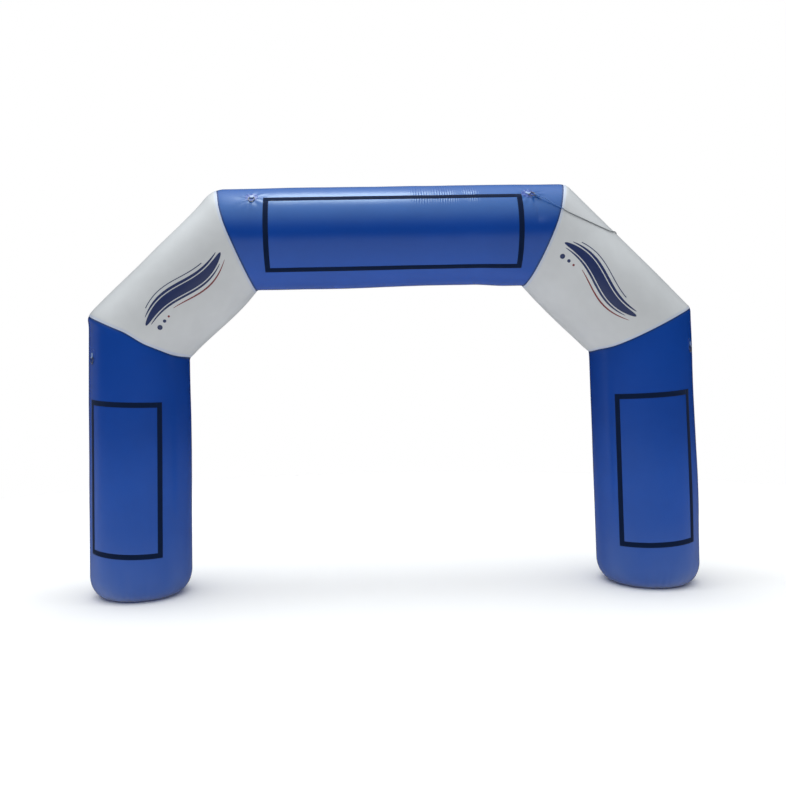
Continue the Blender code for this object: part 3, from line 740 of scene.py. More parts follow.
def build_rope(tied):
    line = rope_line(tied)
    rope = braided("guy_rope_line", line, ROPE_RADIUS, "guy_rope", "guy_rope_coil")
    spread = KNOT_RADIUS / 2
    halfway = (KNOT_START + RING_REACH) / 2
    above = [(0, KNOT_START + 0.010, spread * 0.6), (0, KNOT_START, spread),
             (0, halfway, LOOP_RADIUS * LOOP_NECK)]
    bend = [(0, RING_REACH + LOOP_RADIUS * math.cos(turn), LOOP_RADIUS * math.sin(turn))
            for turn in np.radians(np.arange(90, 271, 15))]
    below = [(x, y, -z) for x, y, z in reversed(above)]
    bight = even_line(smooth_line(above + bend + below, 8), 0.002)
    loop = braided("guy_rope_bight", in_frame(tied, bight), KNOTTED_RADIUS, "guy_rope_loop")
    knot = build_knot("guy_rope_barrel_knot", "guy_rope_knot", tied,
                      KNOT_START + KNOT_LENGTH / 2, KNOT_RADIUS, KNOT_LENGTH, KNOT_WRAPS)
    stopper = (COIL_CENTRE + (END_KNOT_X, 0, END_KNOT_RADIUS + GAP), *np.identity(3))
    end_knot = build_knot("guy_rope_stopper_knot", "guy_rope_end_knot", stopper, 0,
                          END_KNOT_RADIUS, END_KNOT_LENGTH, END_KNOT_WRAPS)
    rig.cord(rope, exit=line[0], length=ROPE_LENGTH, diameter=2 * ROPE_RADIUS, far_end="knot",
            stiffness="limp", lay="hanging", path=line, with_pieces=[loop, knot, end_knot])


def build_knot(name, node, place, middle, radius, length, wraps):
    """The rope wound round itself, closing in at both ends of the knot."""
    part = np.linspace(-1, 1, 160)
    turn = part * wraps * math.pi
    reach = (radius - ROPE_RADIUS) * (1 - 0.55 * ease(np.abs(part), 0.82, 1.0))
    along = middle + part * (length / 2 - ROPE_RADIUS * 0.9)
    line = together(reach * np.cos(turn), along, reach * np.sin(turn))
    return braided(name, in_frame(place, line), KNOTTED_RADIUS, node)


FITTINGS = build_fittings()


# ---- materials

WEAVE_PITCH, WEAVE_HEIGHT = 0.0013, 0.000003
CRINKLE_HEIGHT = 0.0007
STITCH_LINE, STITCH_PITCH = 0.0042, 0.0052
BACK_WELD = (0.013, 0.015)
DIRT_FADES = (0.02, 0.75)                    # this and the next four are heights
# painted floor light: below these heights the legs turn to the paler low blue
PAINTED_FLOOR_LIGHT_FADES = (0.85, 1.85)
# painted top light: above these heights the beam turns to the cyan high blue
PAINTED_TOP_LIGHT_STARTS = (3.48, 3.75)
# painted light from below: between these two pairs of heights the beam's underside takes the paler low blue
PAINTED_UNDERSIDE_LIGHT_STARTS = (2.85, 2.90)
PAINTED_UNDERSIDE_LIGHT_FADES = (3.20, 3.46)
# painted reflected light: left of these places the rope takes a blue cast from the blue cloth it lies on
ROPE_PAINTED_BLUE_CAST = (1.590, 1.625)                # the rope looks bluer left of this
BLUE = (0.0036, 0.0485, 0.298)
WELDED_BLUE = (0.0090, 0.038, 0.165)
WHITE = (0.578, 0.586, 0.600)
WELDED_WHITE = (0.512, 0.551, 0.656)
# the straps' blue cloth, made paler as a painted highlight
STRAP_PAINTED_HIGHLIGHT_BLUE = (0.240, 0.340, 0.560)
TAPE_BLACK = (0.0024, 0.0100, 0.039)


class Nodes:
    """A node tree, filled one node at a time."""

    def __init__(self, tree):
        self.tree = tree

    def feed(self, socket, value):
        """Link the value or set it; a colour may come without its alpha."""
        if isinstance(value, bpy.types.NodeSocket):
            self.tree.links.new(value, socket)
        else:
            socket.default_value = (*value, 1.0) if socket.type == "RGBA" else value

    def node(self, kind, inputs=(), output=0, **settings):
        made = self.tree.nodes.new("ShaderNode" + kind)
        for key, value in settings.items():
            setattr(made, key, value)
        pairs = inputs.items() if isinstance(inputs, dict) else enumerate(inputs)
        for key, value in pairs:
            self.feed(made.inputs[key], value)
        return made.outputs[output]

    def split(self, vector):
        """A vector and its three parts."""
        made = self.tree.nodes.new("ShaderNodeSeparateXYZ")
        self.feed(made.inputs[0], vector)
        return vector, made.outputs

    def sum(self, operation, *values):
        return self.node("Math", values, operation=operation)

    def times(self, *values):
        return self.sum("MULTIPLY", *values)

    def rise(self, value, low, high, bottom=0.0, top=1.0):
        """value from low to high becomes bottom to top, smoothly."""
        return self.node("MapRange", (value, low, high, bottom, top),
                         interpolation_type="SMOOTHSTEP")


class Paint(Nodes):
    """A material's nodes."""

    def __init__(self, name, colour, roughness, specular=0.5, metallic=0.0):
        self.material = bpy.data.materials.new(name)
        self.material.use_nodes = True
        super().__init__(self.material.node_tree)
        self.shader = self.tree.nodes["Principled BSDF"]
        self.set("Base Color", colour)
        self.set("Roughness", roughness)
        self.set("Specular IOR Level", specular)
        self.set("Metallic", metallic)

    def set(self, socket, value):
        self.feed(self.shader.inputs[socket], value)

    def cloth(self):
        """Metres round the cloth, along it and from its nearest seam."""
        return self.split(self.node("Attribute", output="Vector", attribute_name="cloth"))

    def place(self):
        """The object's own coordinates, in metres."""
        return self.split(self.node("TexCoord", output="Object"))

    def noise(self, vector, scale, detail=2.0, roughness=0.5):
        return self.node("TexNoise", {"Vector": vector, "Scale": scale, "Detail": detail,
                                      "Roughness": roughness})

    def mix(self, share, first, second):
        """The first colour at share 0, the second at 1."""
        return self.node("Mix", {0: share, 6: first, 7: second}, output=2, data_type="RGBA")

    def shade(self, colour, factor):
        """A colour made lighter or darker by a number."""
        return self.node("VectorMath", {0: colour, "Scale": factor}, operation="SCALE")

    def add(self, *values):
        total = values[0]
        for value in values[1:]:
            total = self.sum("ADD", total, value)
        return total

    def off(self, value, from_value):
        return self.sum("ABSOLUTE", self.sum("SUBTRACT", value, from_value))

    def wave(self, value, pitch):
        return self.sum("SINE", self.times(value, 2 * math.pi / pitch))

    def threads(self, first, second, pitch, height):
        """The crossing threads of a woven ground, as a height in metres."""
        return self.times(self.times(self.wave(first, pitch), self.wave(second, pitch)), height)

    def woven_ground(self, around, along, place):
        """The heights of the threads under the coating, and of its slight crinkles."""
        return (self.threads(around, along, WEAVE_PITCH, WEAVE_HEIGHT),
                self.times(self.noise(place, 5.0), CRINKLE_HEIGHT))

    def bump(self, *heights):
        """Relief of heights in metres."""
        self.set("Normal", self.node("Bump", {"Strength": 1.0, "Distance": 1.0,
                                              "Height": self.add(*heights)}))


def coated_cloth(name, colour, dusty, welded, roughness, specular=0.43, weld_width=0.020,
                 low=None, high=None, tint=(1, 1, 1)):
    """PVC-coated polyester: a woven ground under a smooth skin, welded at its seams. Its low colour is painted floor
    light, paler towards the bottom, and its high colour is painted cyan top light.
    """
    paint = Paint(name, colour, roughness, specular)
    _, (around, along, seam) = paint.cloth()
    place, (_, _, z) = paint.place()
    slow = paint.noise(place, 1.7, 1.0)
    fine = paint.noise(place, 11.0, 1.0, 0.4)
    tone = paint.add(paint.rise(slow, 0.30, 0.70, 0.96, 1.04),
                     paint.rise(fine, 0.3, 0.7, -0.01, 0.01))
    weld = paint.rise(seam, weld_width * 0.6, weld_width * 1.15, 1.0, 0.0)
    back = paint.rise(paint.off(around, math.pi * RADIUS), *BACK_WELD, 1.0, 0.0)
    weld = paint.sum("MAXIMUM", weld, back)
    smear = paint.noise(paint.node("Mapping", {0: place, 3: (1.6, 1.6, 0.5)}), 2.0)
    dirt = paint.times(paint.rise(z, *DIRT_FADES, 0.60, 0.0),
                       paint.rise(smear, 0.15, 0.85, 0.35, 1.0))
    dirt = paint.add(dirt, paint.times(paint.rise(smear, 0.45, 0.80), 0.012))
    ground = colour
    # painted floor light: a paler blue towards the bottom of the legs
    if low:
        ground = paint.mix(paint.rise(z, *PAINTED_FLOOR_LIGHT_FADES, 1.0, 0.0), ground, low)
    # painted top light: a cyan blue over the beam's top
    if high:
        ground = paint.mix(paint.rise(z, *PAINTED_TOP_LIGHT_STARTS), ground, high)
        # painted light from below: the paler low blue again over the beam's underside
        under = paint.times(paint.rise(z, *PAINTED_UNDERSIDE_LIGHT_STARTS),
                            paint.rise(z, *PAINTED_UNDERSIDE_LIGHT_FADES, 0.6, 0.0))
        ground = paint.mix(under, ground, low)
    shaded = paint.shade(paint.mix(weld, ground, welded), tone)
    paint.set("Base Color", paint.mix(dirt, shaded, dusty))
    paint.set("Specular Tint", tint)
    paint.bump(*paint.woven_ground(around, along, place), paint.times(weld, -0.00018))
    return paint.material


def hook_tape():
    """Woven tape with a close pile, and a line of stitches down each edge."""
    paint = Paint("black_hook_tape", TAPE_BLACK, 0.88, 0.06)
    _, (across, along, side) = paint.cloth()
    place, _ = paint.place()
    pile = paint.noise(place, 900.0, 2.0, 0.7)
    worn = paint.noise(place, 7.0, 4.0, 0.6)
    colour = paint.mix(paint.rise(worn, 0.45, 0.80, 0.0, 0.35), TAPE_BLACK,
                       (0.0060, 0.0170, 0.052))
    colour = paint.mix(paint.rise(side, 0.0, 0.0035), (0.0018, 0.0075, 0.030), colour)
    on_line = paint.rise(paint.off(side, STITCH_LINE), 0.0006, 0.0009, 1.0, 0.0)
    thread = paint.times(on_line, paint.rise(paint.wave(along, STITCH_PITCH), -0.55, -0.35))
    paint.set("Base Color", paint.mix(thread, colour, (0.010, 0.024, 0.072)))
    paint.set("Roughness", paint.rise(pile, 0.2, 0.8, 0.72, 0.95))
    paint.set("Sheen Weight", 0.04)
    paint.set("Sheen Roughness", 0.5)
    paint.bump(paint.times(pile, 0.00022), paint.threads(across, along, 0.0016, 0.00008),
               paint.times(on_line, -0.00015), paint.times(thread, 0.00030))
    return paint.material


def ring_steel():
    """Bent steel wire, dull zinc with fine drawing lines and a little tarnish."""
    paint = Paint("zinc_wire", (0.17, 0.175, 0.18), 0.34, metallic=1.0)
    spot, _ = paint.cloth()
    place, _ = paint.place()
    drawn = paint.noise(paint.node("Mapping", {0: spot, 3: (60.0, 3.0, 1.0)}), 8.0, 3.0)
    tarnish = paint.noise(place, 90.0, 4.0, 0.65)
    paint.set("Base Color", paint.mix(paint.rise(tarnish, 0.45, 0.75), (0.14, 0.145, 0.15),
                                      (0.060, 0.058, 0.056)))
    paint.set("Roughness", paint.add(paint.rise(tarnish, 0.3, 0.8, 0.24, 0.50),
                                     paint.rise(drawn, 0.3, 0.7, -0.04, 0.06)))
    paint.bump(paint.times(drawn, 0.00003), paint.times(tarnish, 0.00006))
    return paint.material


def rope_yarn():
    """A braided polyester rope, dark grey with a paler fleck in every other strand, painted shade in the grooves
    between strands, and a painted blue cast where it lies over the blue cloth.
    """
    paint = Paint("grey_braid", (0.155, 0.165, 0.180), 0.8, 0.2)
    _, (turn, along, _) = paint.cloth()
    place, (x, _, _) = paint.place()
    around = paint.times(turn, 4.0)
    lengthwise = paint.times(along, 1 / BRAID_PITCH)
    lean = [paint.wave(paint.sum(way, around, lengthwise), 1) for way in ("ADD", "SUBTRACT")]
    strand = paint.sum("MAXIMUM", *lean)
    fibre = paint.noise(place, 700.0, 3.0, 0.7)
    grime = paint.noise(place, 5.0, 4.0)
    colour = paint.mix(paint.rise(lean[0], 0.45, 0.75), (0.128, 0.137, 0.155),
                       (0.230, 0.243, 0.262))
    # painted shade: darker in the grooves between the strands
    colour = paint.mix(paint.rise(strand, 0.55, -0.10, 0.0, 0.75), colour, (0.045, 0.049, 0.056))
    colour = paint.mix(paint.rise(grime, 0.5, 0.8, 0.0, 0.30), colour, (0.150, 0.155, 0.160))
    # painted reflected light: a blue cast from the blue cloth under the rope
    painted_blue_cast = paint.rise(x, *ROPE_PAINTED_BLUE_CAST, 0.85, 0.0)
    paint.set("Base Color", paint.mix(painted_blue_cast, colour, (0.045, 0.165, 0.500)))
    paint.set("Roughness", paint.rise(fibre, 0.2, 0.8, 0.70, 0.92))
    paint.set("Sheen Weight", 0.2)
    paint.bump(paint.times(strand, 0.00025), paint.times(fibre, 0.00010))
    return paint.material


def printed(name, colour, worn_colour):
    """Ink on the white cloth, a little thinner where it has rubbed."""
    paint = Paint(name, colour, 0.34)
    _, (around, along, _) = paint.cloth()
    place, _ = paint.place()
    rub = paint.noise(place, 24.0, 5.0, 0.65)
    slow = paint.noise(place, 1.7, 3.0)
    shaded = paint.shade(colour, paint.rise(slow, 0.3, 0.7, 0.92, 1.06))
    paint.set("Base Color", paint.mix(paint.rise(rub, 0.62, 0.84, 0.0, 0.5), shaded, worn_colour))
    paint.set("Roughness", paint.rise(rub, 0.3, 0.8, 0.30, 0.44))
    paint.bump(*paint.woven_ground(around, along, place))
    return paint.material


def pale_floor():
    paint = Paint("pale_floor", (0.925, 0.905, 0.890), 0.6, 0.2)
    place, _ = paint.place()
    cloud = paint.noise(place, 0.35, 3.0)
    grain = paint.noise(place, 140.0, 3.0, 0.6)
    paint.set("Base Color", paint.mix(paint.rise(cloud, 0.3, 0.7), (0.920, 0.900, 0.885),
                                      (0.935, 0.915, 0.900)))
    paint.set("Roughness", paint.rise(grain, 0.3, 0.7, 0.55, 0.70))
    paint.bump(paint.times(grain, 0.0003))
    return paint.material


PAINT = {
    # the blue's low colour is painted floor light, also used on the beam's underside; its high colour is painted cyan
    # top light
    "blue": coated_cloth("blue_coated_cloth", BLUE, (0.066, 0.123, 0.353), WELDED_BLUE, 0.265,
                         low=(0.0085, 0.067, 0.368), high=(0.0036, 0.074, 0.308),
                         tint=(0.82, 0.96, 1.0)),
    "white": coated_cloth("white_coated_cloth", WHITE, (0.360, 0.356, 0.350), WELDED_WHITE,
                          0.33, 0.5, 0.028),
    "tape": hook_tape(),
    "steel": ring_steel(),
    "rope": rope_yarn(),
    "patch": coated_cloth("patch_cloth", BLUE, (0.050, 0.105, 0.290), BLUE, 0.33),
    "strap": coated_cloth("strap_cloth", STRAP_PAINTED_HIGHLIGHT_BLUE, (0.180, 0.250, 0.400), STRAP_PAINTED_HIGHLIGHT_BLUE, 0.33),
    "navy": printed("navy_ink", (0.0135, 0.025, 0.100), (0.060, 0.085, 0.200)),
    "red": printed("red_ink", (0.190, 0.022, 0.030), (0.380, 0.130, 0.130)),
}


# ---- cloth pieces

SEAM_LAP = 0.028          # the blue cloth runs on under the white by this much
LAP_LIFT = 0.0011
FAR = 9.0                 # from any seam
FOOT_ROWS = 22
BASE_HEIGHT = 0.0006
BASE_WELD = (0.024, 0.022, 0.012, 0.003, 0.001)    # its rows' distances from the rim
DIAGONAL_SIDES, DIAGONAL_ROWS = 300, 84
LEG_SIDES, LEG_ROWS = 288, 142
LEG_ROW = 0.014
LAP_SLOPE = (-0.048, -0.031)
LAP_END = 0.0001
SEAM_ALLOWANCE = 0.03
NEAR_END = (0, 0.0015, 0.004, 0.008, 0.013, 0.019, 0.026, 0.034, 0.044, 0.056, 0.072, 0.092,
            0.118, 0.150)


def end_line(joint, angle, beside):
    """The place along a tube that lies this far beside its seam, at each angle."""
    offset = beside + joint.seam(latitude(angle))
    past = offset if joint.white else -offset
    return joint.edge(angle) + joint.sign * past / joint.tube.stretch


def rows_between(low, high, middle, near_low=True):
    """Places along the cloth at each angle: close rows at its ends, middle shares between."""
    steps = np.array(NEAR_END)[:, None]
    first = low + steps if near_low else low + steps[:1]
    last = high - steps[::-1]
    inner = first[-1] + (last[0] - first[-1]) * np.asarray(middle)[1:-1, None]
    return np.vstack([first, inner, last])


def cloth_spots(tube, along, angle):
    """Metres round, along and from the nearest seam, for the material."""
    seam = FAR
    for joint in tube.joints:
        seam = np.minimum(seam, np.abs(joint.beside_seam(along, angle)))
    return together(angle % (2 * math.pi) * RADIUS, along, seam)


def even_turns(count):
    return np.linspace(0, 2 * math.pi, count, endpoint=False)


def add_cloth(name, node, colour, tube, along, angle, points):
    """Cloth round a tube, as a grid of points."""
    faces = grid_faces(*along.shape, round_columns=True, flip=node.endswith("left"))
    piece = add_mesh(name, points, faces, PAINT[colour], cloth_spots(tube, along, angle))
    return stand_for(piece, colour + "_cloth", node)


def build_diagonal(hand):
    tube = ARCH["diagonal_" + hand]
    angle = even_turns(DIAGONAL_SIDES)
    low, high = (end_line(joint, angle, 0) for joint in tube.joints)
    along = rows_between(low, high, np.linspace(0, 1, DIAGONAL_ROWS))
    lap = np.zeros_like(along)
    for joint in tube.joints:
        beside = joint.beside_seam(along, angle)
        lap = np.maximum(lap, LAP_LIFT * ease(beside, *LAP_SLOPE))
    lap[[0, -1]] = LAP_END
    return add_cloth("white_cloth_" + hand, "diagonal_" + hand, "white", tube, along, angle,
                     surface(tube, along, angle, lap))


def build_leg(hand):
    tube = ARCH["leg_" + hand]
    angle = even_turns(LEG_SIDES)
    high = end_line(tube.joints[0], angle, -SEAM_LAP)
    turn = np.radians(np.linspace(0, 90, FOOT_ROWS))
    foot = np.tile((FOOT_ROUND_UP * (1 - np.cos(turn)))[:, None], len(angle))
    low = np.full(len(angle), FOOT_ROUND_UP + LEG_ROW)
    body = rows_between(low, high, np.linspace(0, 1, LEG_ROWS), near_low=False)
    along = np.vstack([foot, body])
    reach = np.full(len(along), RADIUS)
    reach[:FOOT_ROWS] = BASE_RADIUS + FOOT_ROUND_OUT * np.sin(turn)
    points = surface(tube, along, angle, 0.0, column(reach))
    points[..., 2] = np.maximum(points[..., 2], BASE_HEIGHT)
    return add_cloth("blue_cloth_leg_" + hand, "leg_" + hand, "blue", tube, along, angle, points)


def spaced_by(places, steps):
    """Numbers from the first place to the last, with each stretch's own step."""
    parts = [np.linspace(low, high, max(2, round((high - low) / step) + 1))[:-1]
             for low, high, step in zip(places, places[1:], steps)]
    return np.concatenate(parts + [places[-1:]])


def build_beam():
    tube = ARCH["beam"]
    angle = np.radians(spaced_by([-180, 30, 68, 180], [1.45, 0.95, 1.45]))[:-1]
    low, high = (end_line(joint, angle, -SEAM_LAP) for joint in tube.joints)
    middle = spaced_by([-1.40, -1.24, 0.10, 0.90, 1.22, 1.40],
                       [0.009, 0.017, PUCKER_STEP, 0.017, 0.008])
    middle = (middle - middle[0]) / (middle[-1] - middle[0])
    along = rows_between(low, high, middle)
    return add_cloth("blue_cloth_beam", "beam", "blue", tube, along, angle,
                     surface(tube, along, angle))


def build_base(hand):
    """The leg's flat round bottom, with its welded rim."""
    tube = ARCH["leg_" + hand]
    turn = even_turns(DISC_SIDES)
    reach = column(np.concatenate([[0.004], np.linspace(0.02, BASE_RADIUS - 0.03, 18),
                                   BASE_RADIUS - np.array(BASE_WELD)]))
    height = BASE_HEIGHT + 0.0003 * ease(reach, *(BASE_RADIUS - np.array(BASE_WELD[:2])))
    ripple = 0.00018 * np.cos(turn * 7) * np.sin(reach * 31)
    points = together(tube.start[0] + reach * np.cos(turn), reach * np.sin(turn), height + ripple)
    spots = together(turn * RADIUS * 0.5, reach, BASE_RADIUS - reach)
    piece = add_mesh("base_cloth_" + hand, points, disc_faces(len(reach)), PAINT["blue"], spots)
    return stand_for(piece, "blue_cloth", "base_" + hand)


# ---- tape frames

TAPE_STEP = 0.012         # between the rows of points along a tape
PUCKER_STEP = 0.0048
TAPE_PUCKERED = (1.62, 2.46)
TAPE_BEVEL = 0.0006
TAPE_SECTION = (          # (from the tape's edge, height above the cloth)
    (0.0000, -0.0002), (0.0000, 0.0007), (0.0005, 0.0012), (0.0014, 0.0014), (0.0032, 0.0014),
    (0.0042, 0.0010), (0.0052, 0.0014), (0.0120, 0.0016), (0.0250, 0.0016),
)


def build_strip(node, tube, lengthwise, cross_start, along_tube, rise):
    edge, lift = np.array(TAPE_SECTION).T
    edge = np.concatenate([edge, TAPE_WIDTH - edge[-2::-1]])
    lift = np.concatenate([lift, lift[-2::-1]])
    start, end = lengthwise
    inner = spaced_by([start, end], [TAPE_STEP])
    if along_tube and tube is ARCH["beam"]:
        inner = spaced_by([start, *TAPE_PUCKERED, end], [TAPE_STEP, PUCKER_STEP, TAPE_STEP])
    run = np.concatenate([[start, start, start + TAPE_BEVEL], inner[1:-1],
                          [end - TAPE_BEVEL, end, end]])
    height = np.tile(lift, (len(run), 1))
    height[[0, -1]] = TAPE_SECTION[0][1]
    height[[1, -2]] = np.minimum(height[[1, -2]], 0.0009)
    run = column(run)
    across = cross_start + edge
    if along_tube:
        points = surface(tube, run + rise(across), across / RADIUS, height)
    else:
        points = surface(tube, across + rise(run), run / RADIUS, height)
    spots = together(edge, run, np.minimum(edge, TAPE_WIDTH - edge))
    piece = add_mesh(node + "_strip", points, outward_faces(points, tube), PAINT["tape"], spots)
    piece.data.set_sharp_from_angle(angle=math.radians(50))
    return stand_for(piece, "frame_tape", node)


def outward_faces(points, tube):
    """Faces over a grid of points that look away from the tube's middle line."""
    row, col = points.shape[0] // 2, points.shape[1] // 2
    here = points[row, col]
    normal = np.cross(points[row, col + 1] - here, points[row + 1, col] - here)
    from_start = here - tube.start
    outward = from_start - tube.run * (from_start @ tube.run) / tube.stretch ** 2
    return grid_faces(*points.shape[:2], flip=bool(normal @ outward < 0))


def build_frame(prefix, tube, start, end, turn, edges_rise):
    """Two long strips and two between them, each with its own stitching."""
    def rise(across):
        low, high = edges_rise
        return low + (high - low) * ((across - inner) / FRAME_ARC) ** 2

    inner = turn * RADIUS - FRAME_ARC / 2
    outer = turn * RADIUS + FRAME_ARC / 2
    between = (inner + TAPE_WIDTH + GAP, outer - TAPE_WIDTH - GAP)
    return [
        build_strip(prefix + "_inner", tube, (start, end), inner, True, rise),
        build_strip(prefix + "_outer", tube, (start, end), outer - TAPE_WIDTH, True, rise),
        build_strip(prefix + "_start", tube, between, start, False, rise),
        build_strip(prefix + "_end", tube, between, end - TAPE_WIDTH, False, rise),
    ]


# ---- the print on the diagonals

PRINT_LIFT = 0.0004
PRINT_LENGTH = 0.98
PRINT_WAVE = 0.052
PRINT_PLACES = {          # (its start along the diagonal, its direction, its middle's angle)
    "left": (0.19, 1, math.radians(-9)),
    "right": (1.19, -1, math.radians(-8)),
}
RIBBONS = (               # (ink, from, to, beside the wave, half width, tapered)
    ("navy", 0.00, 1.00, 0.000, 0.046, True),
    ("navy", 0.05, 0.97, 0.069, 0.0135, True),
    ("navy", 0.04, 0.92, -0.066, 0.0105, True),
    ("navy", 0.12, 0.80, 0.118, 0.0045, False),
    ("red", 0.30, 0.98, -0.112, 0.0075, True),
)
DOTS = (                  # (ink, along the print, beside the wave, radius)
    ("navy", 0.08, -0.125, 0.024), ("navy", 0.155, -0.128, 0.016), ("red", 0.215, -0.130, 0.011),
)


def wave_at(share):
    """The print's wavy middle line: sideways metres for a share of its length."""
    return PRINT_WAVE * np.sin(2 * math.pi * (share * 0.92 + 0.04))


def build_print(hand, begin, direction, middle):
    """Wavy ribbons and dots that run along the diagonal."""
    tube = ARCH["diagonal_" + hand]
    parts = {"navy": [], "red": []}
    for ink, first, last, beside, half, tapered in RIBBONS:
        share = np.linspace(first, last, 90)[:, None]
        part = (share - first) / (last - first)
        width = half * (np.sin(math.pi * part.clip(0, 1)) ** 0.45 if tapered else 1 + 0 * part)
        cells = max(2, round(half / 0.008))
        across = np.linspace(-1, 1, 2 * cells + 1)
        narrow = 0.55 + 0.45 * np.sin(math.pi * share)
        sideways = wave_at(share) + beside * narrow + width * across
        parts[ink].append((share * PRINT_LENGTH, sideways))
    for ink, share, beside, radius in DOTS:
        rings = np.linspace(0.02, 1, 4)[:, None] * radius
        turn = np.linspace(0, 2 * math.pi, 37)
        parts[ink].append((share * PRINT_LENGTH + rings * np.cos(turn),
                           wave_at(share) + beside + rings * np.sin(turn)))
    pieces = []
    for ink, patches in parts.items():
        points, faces, spots, count = [], [], [], 0
        for lengthwise, sideways in patches:
            lengthwise, sideways = np.broadcast_arrays(lengthwise, sideways)
            along = begin + direction * lengthwise
            angle = middle + sideways / RADIUS
            spot = surface(tube, along, angle, PRINT_LIFT)
            points.append(spot.reshape(-1, 3))
            spots.append(cloth_spots(tube, along, angle).reshape(-1, 3))
            faces += [[corner + count for corner in face] for face in outward_faces(spot, tube)]
            count += spot.shape[0] * spot.shape[1]
        pieces.append(add_mesh("print_" + ink + "_" + hand, np.vstack(points), faces,
                               PAINT[ink], np.vstack(spots)))
        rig.slot(pieces[-1], "white_cloth")
    return pieces


# ---- rings, tabs and patches

def build_patch(fitting):
    """The welded patch: well rounded corners, a pressed rim and a bevelled edge."""
    share = np.concatenate([np.linspace(-1, -0.9, 5)[:-1], np.linspace(-0.9, 0.9, 31),
                            np.linspace(0.9, 1, 5)[1:]])
    x, y = share[None], share[:, None]
    across = PATCH_HALF * x * np.sqrt(1 - PATCH_ROUNDNESS * y * y)
    toward = PATCH_HALF * y * np.sqrt(1 - PATCH_ROUNDNESS * x * x) - PATCH_SHIFT
    edge = np.maximum(np.abs(x), np.abs(y))
    lift = PATCH_EDGE + (PATCH_TOP - PATCH_EDGE) * (1 - ease(edge, 0.965, 1.0))
    lift = lift - PATCH_GROOVE * hump(edge, 0.90, 0.035)
    points = fitting.world(across, toward, lift)
    piece = add_mesh(fitting.name + "_weld_patch", points, outward_faces(points, fitting.tube),
                     PAINT["patch"], together(across, toward, (1 - edge) * PATCH_HALF))
    return stand_for(piece, "blue_cloth", fitting.name + "_patch")


def tab_path():
    """The strap's middle line, as (toward, height): under the bar, round it and back."""
    lower = [(-TAB_LENGTH * (1 - step / 8), TAB_LOW) for step in range(8)]
    turns = np.radians(np.arange(-90, 91, 12))
    eye = [(TAB_EYE_RADIUS * math.cos(turn), BAR_HEIGHT + TAB_EYE_RADIUS * math.sin(turn))
           for turn in turns]
    top = BAR_HEIGHT + TAB_EYE_RADIUS
    slope = [(-TAB_SLOPE * part, TAB_HIGH + (top - TAB_HIGH) * (1 + math.cos(math.pi * part)) / 2)
             for part in np.arange(1, 11) / 10]
    rest = (TAB_LENGTH - TAB_SLOPE) / 8
    upper = [(-TAB_SLOPE - rest * step, TAB_HIGH) for step in range(1, 9)]
    return np.array(lower + eye + slope + upper)


def build_tab(fitting):
    """The folded strap that holds the ring's bar."""
    path = tab_path()
    run = unit(np.gradient(path, axis=0))
    off = np.stack([-run[:, 1], run[:, 0]], -1)
    share = np.array((-1, -0.985, -0.95, -0.8, -0.5, 0, 0.5, 0.8, 0.95, 0.985, 1))
    thick = TAB_THICKNESS / 2 * np.array((0.35, 0.8, 1, 1, 1, 1, 1, 1, 1, 0.8, 0.35))
    loops = []
    for part, half in zip(share, thick):
        both = np.vstack([path + off * half, (path - off * half)[::-1]])
        loops.append(fitting.world(part * TAB_WIDTH / 2, both[:, 0], both[:, 1]))
    points = np.array(loops)
    count = points.shape[1]
    faces = grid_faces(len(share), count, round_columns=True)
    last = (len(share) - 1) * count
    for step in range(len(path) - 1):
        other = count - 1 - step
        faces.append([step, step + 1, other - 1, other])
        faces.append([last + other, last + other - 1, last + step + 1, last + step])
    along = distances(path)
    share = column(share)
    spots = together(share * TAB_WIDTH / 2, np.concatenate([along, along[::-1]]),
                     (1 - np.abs(share)) * TAB_WIDTH / 2)
    piece = add_mesh(fitting.name + "_strap", points, faces, PAINT["strap"], spots)
    piece.data.set_sharp_from_angle(angle=math.radians(55))
    return stand_for(piece, "blue_cloth", fitting.name + "_tab")


def build_ring(fitting):
    """The D ring: bent wire, with the weld's small swelling on its bar."""
    inset = RING_HALF_WIDTH - RING_CORNER
    turns = np.radians(np.arange(0, 61, 12))
    corner = [(inset + RING_CORNER * math.sin(turn), RING_CORNER * (1 - math.cos(turn)))
              for turn in turns]
    first = math.asin(RING_CORNER / RING_REACH)
    bow = [(RING_HALF_WIDTH * math.cos(bend), RING_REACH * math.sin(bend))
           for bend in np.linspace(first, math.pi - first, 41)]
    bar = [(x, 0.0) for x in np.linspace(-inset, inset, 9)[1:-1]]
    outline = np.array(corner + bow + [(-x, y) for x, y in reversed(corner)] + bar)
    line = np.column_stack([outline, np.zeros(len(outline))])
    swelling = 1 + 0.14 * hump(np.hypot(line[:, 0] + 0.0205, line[:, 1]), 0, 0.0025)
    turns = np.arange(WIRE_SIDES) * 2 * math.pi / WIRE_SIDES
    sections = together(np.cos(turns), np.sin(turns)) * WIRE_RADIUS * swelling[:, None, None]
    piece = sweep(fitting.name + "_wire", in_frame(fitting.ring_frame(), line), sections,
                  PAINT["steel"], closed=True)
    return stand_for(piece, "ring_steel", fitting.name + "_ring")


# ---- floor and light

FLOOR_HEIGHT = -0.0004


def build_floor():
    """A round pale floor just under the arch; it is left out of the cloth's reflections."""
    reach = column(np.concatenate([[0.05], np.geomspace(0.5, 10, 22)]))
    turn = even_turns(DISC_SIDES)
    points = together(reach * np.cos(turn), reach * np.sin(turn), FLOOR_HEIGHT)
    mesh = bpy.data.meshes.new("floor")
    mesh.from_pydata(points.reshape(-1, 3).tolist(), [], disc_faces(len(reach)))
    mesh.materials.append(pale_floor())
    floor = put("floor", mesh)
    floor.visible_glossy = False
    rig.stage(floor)


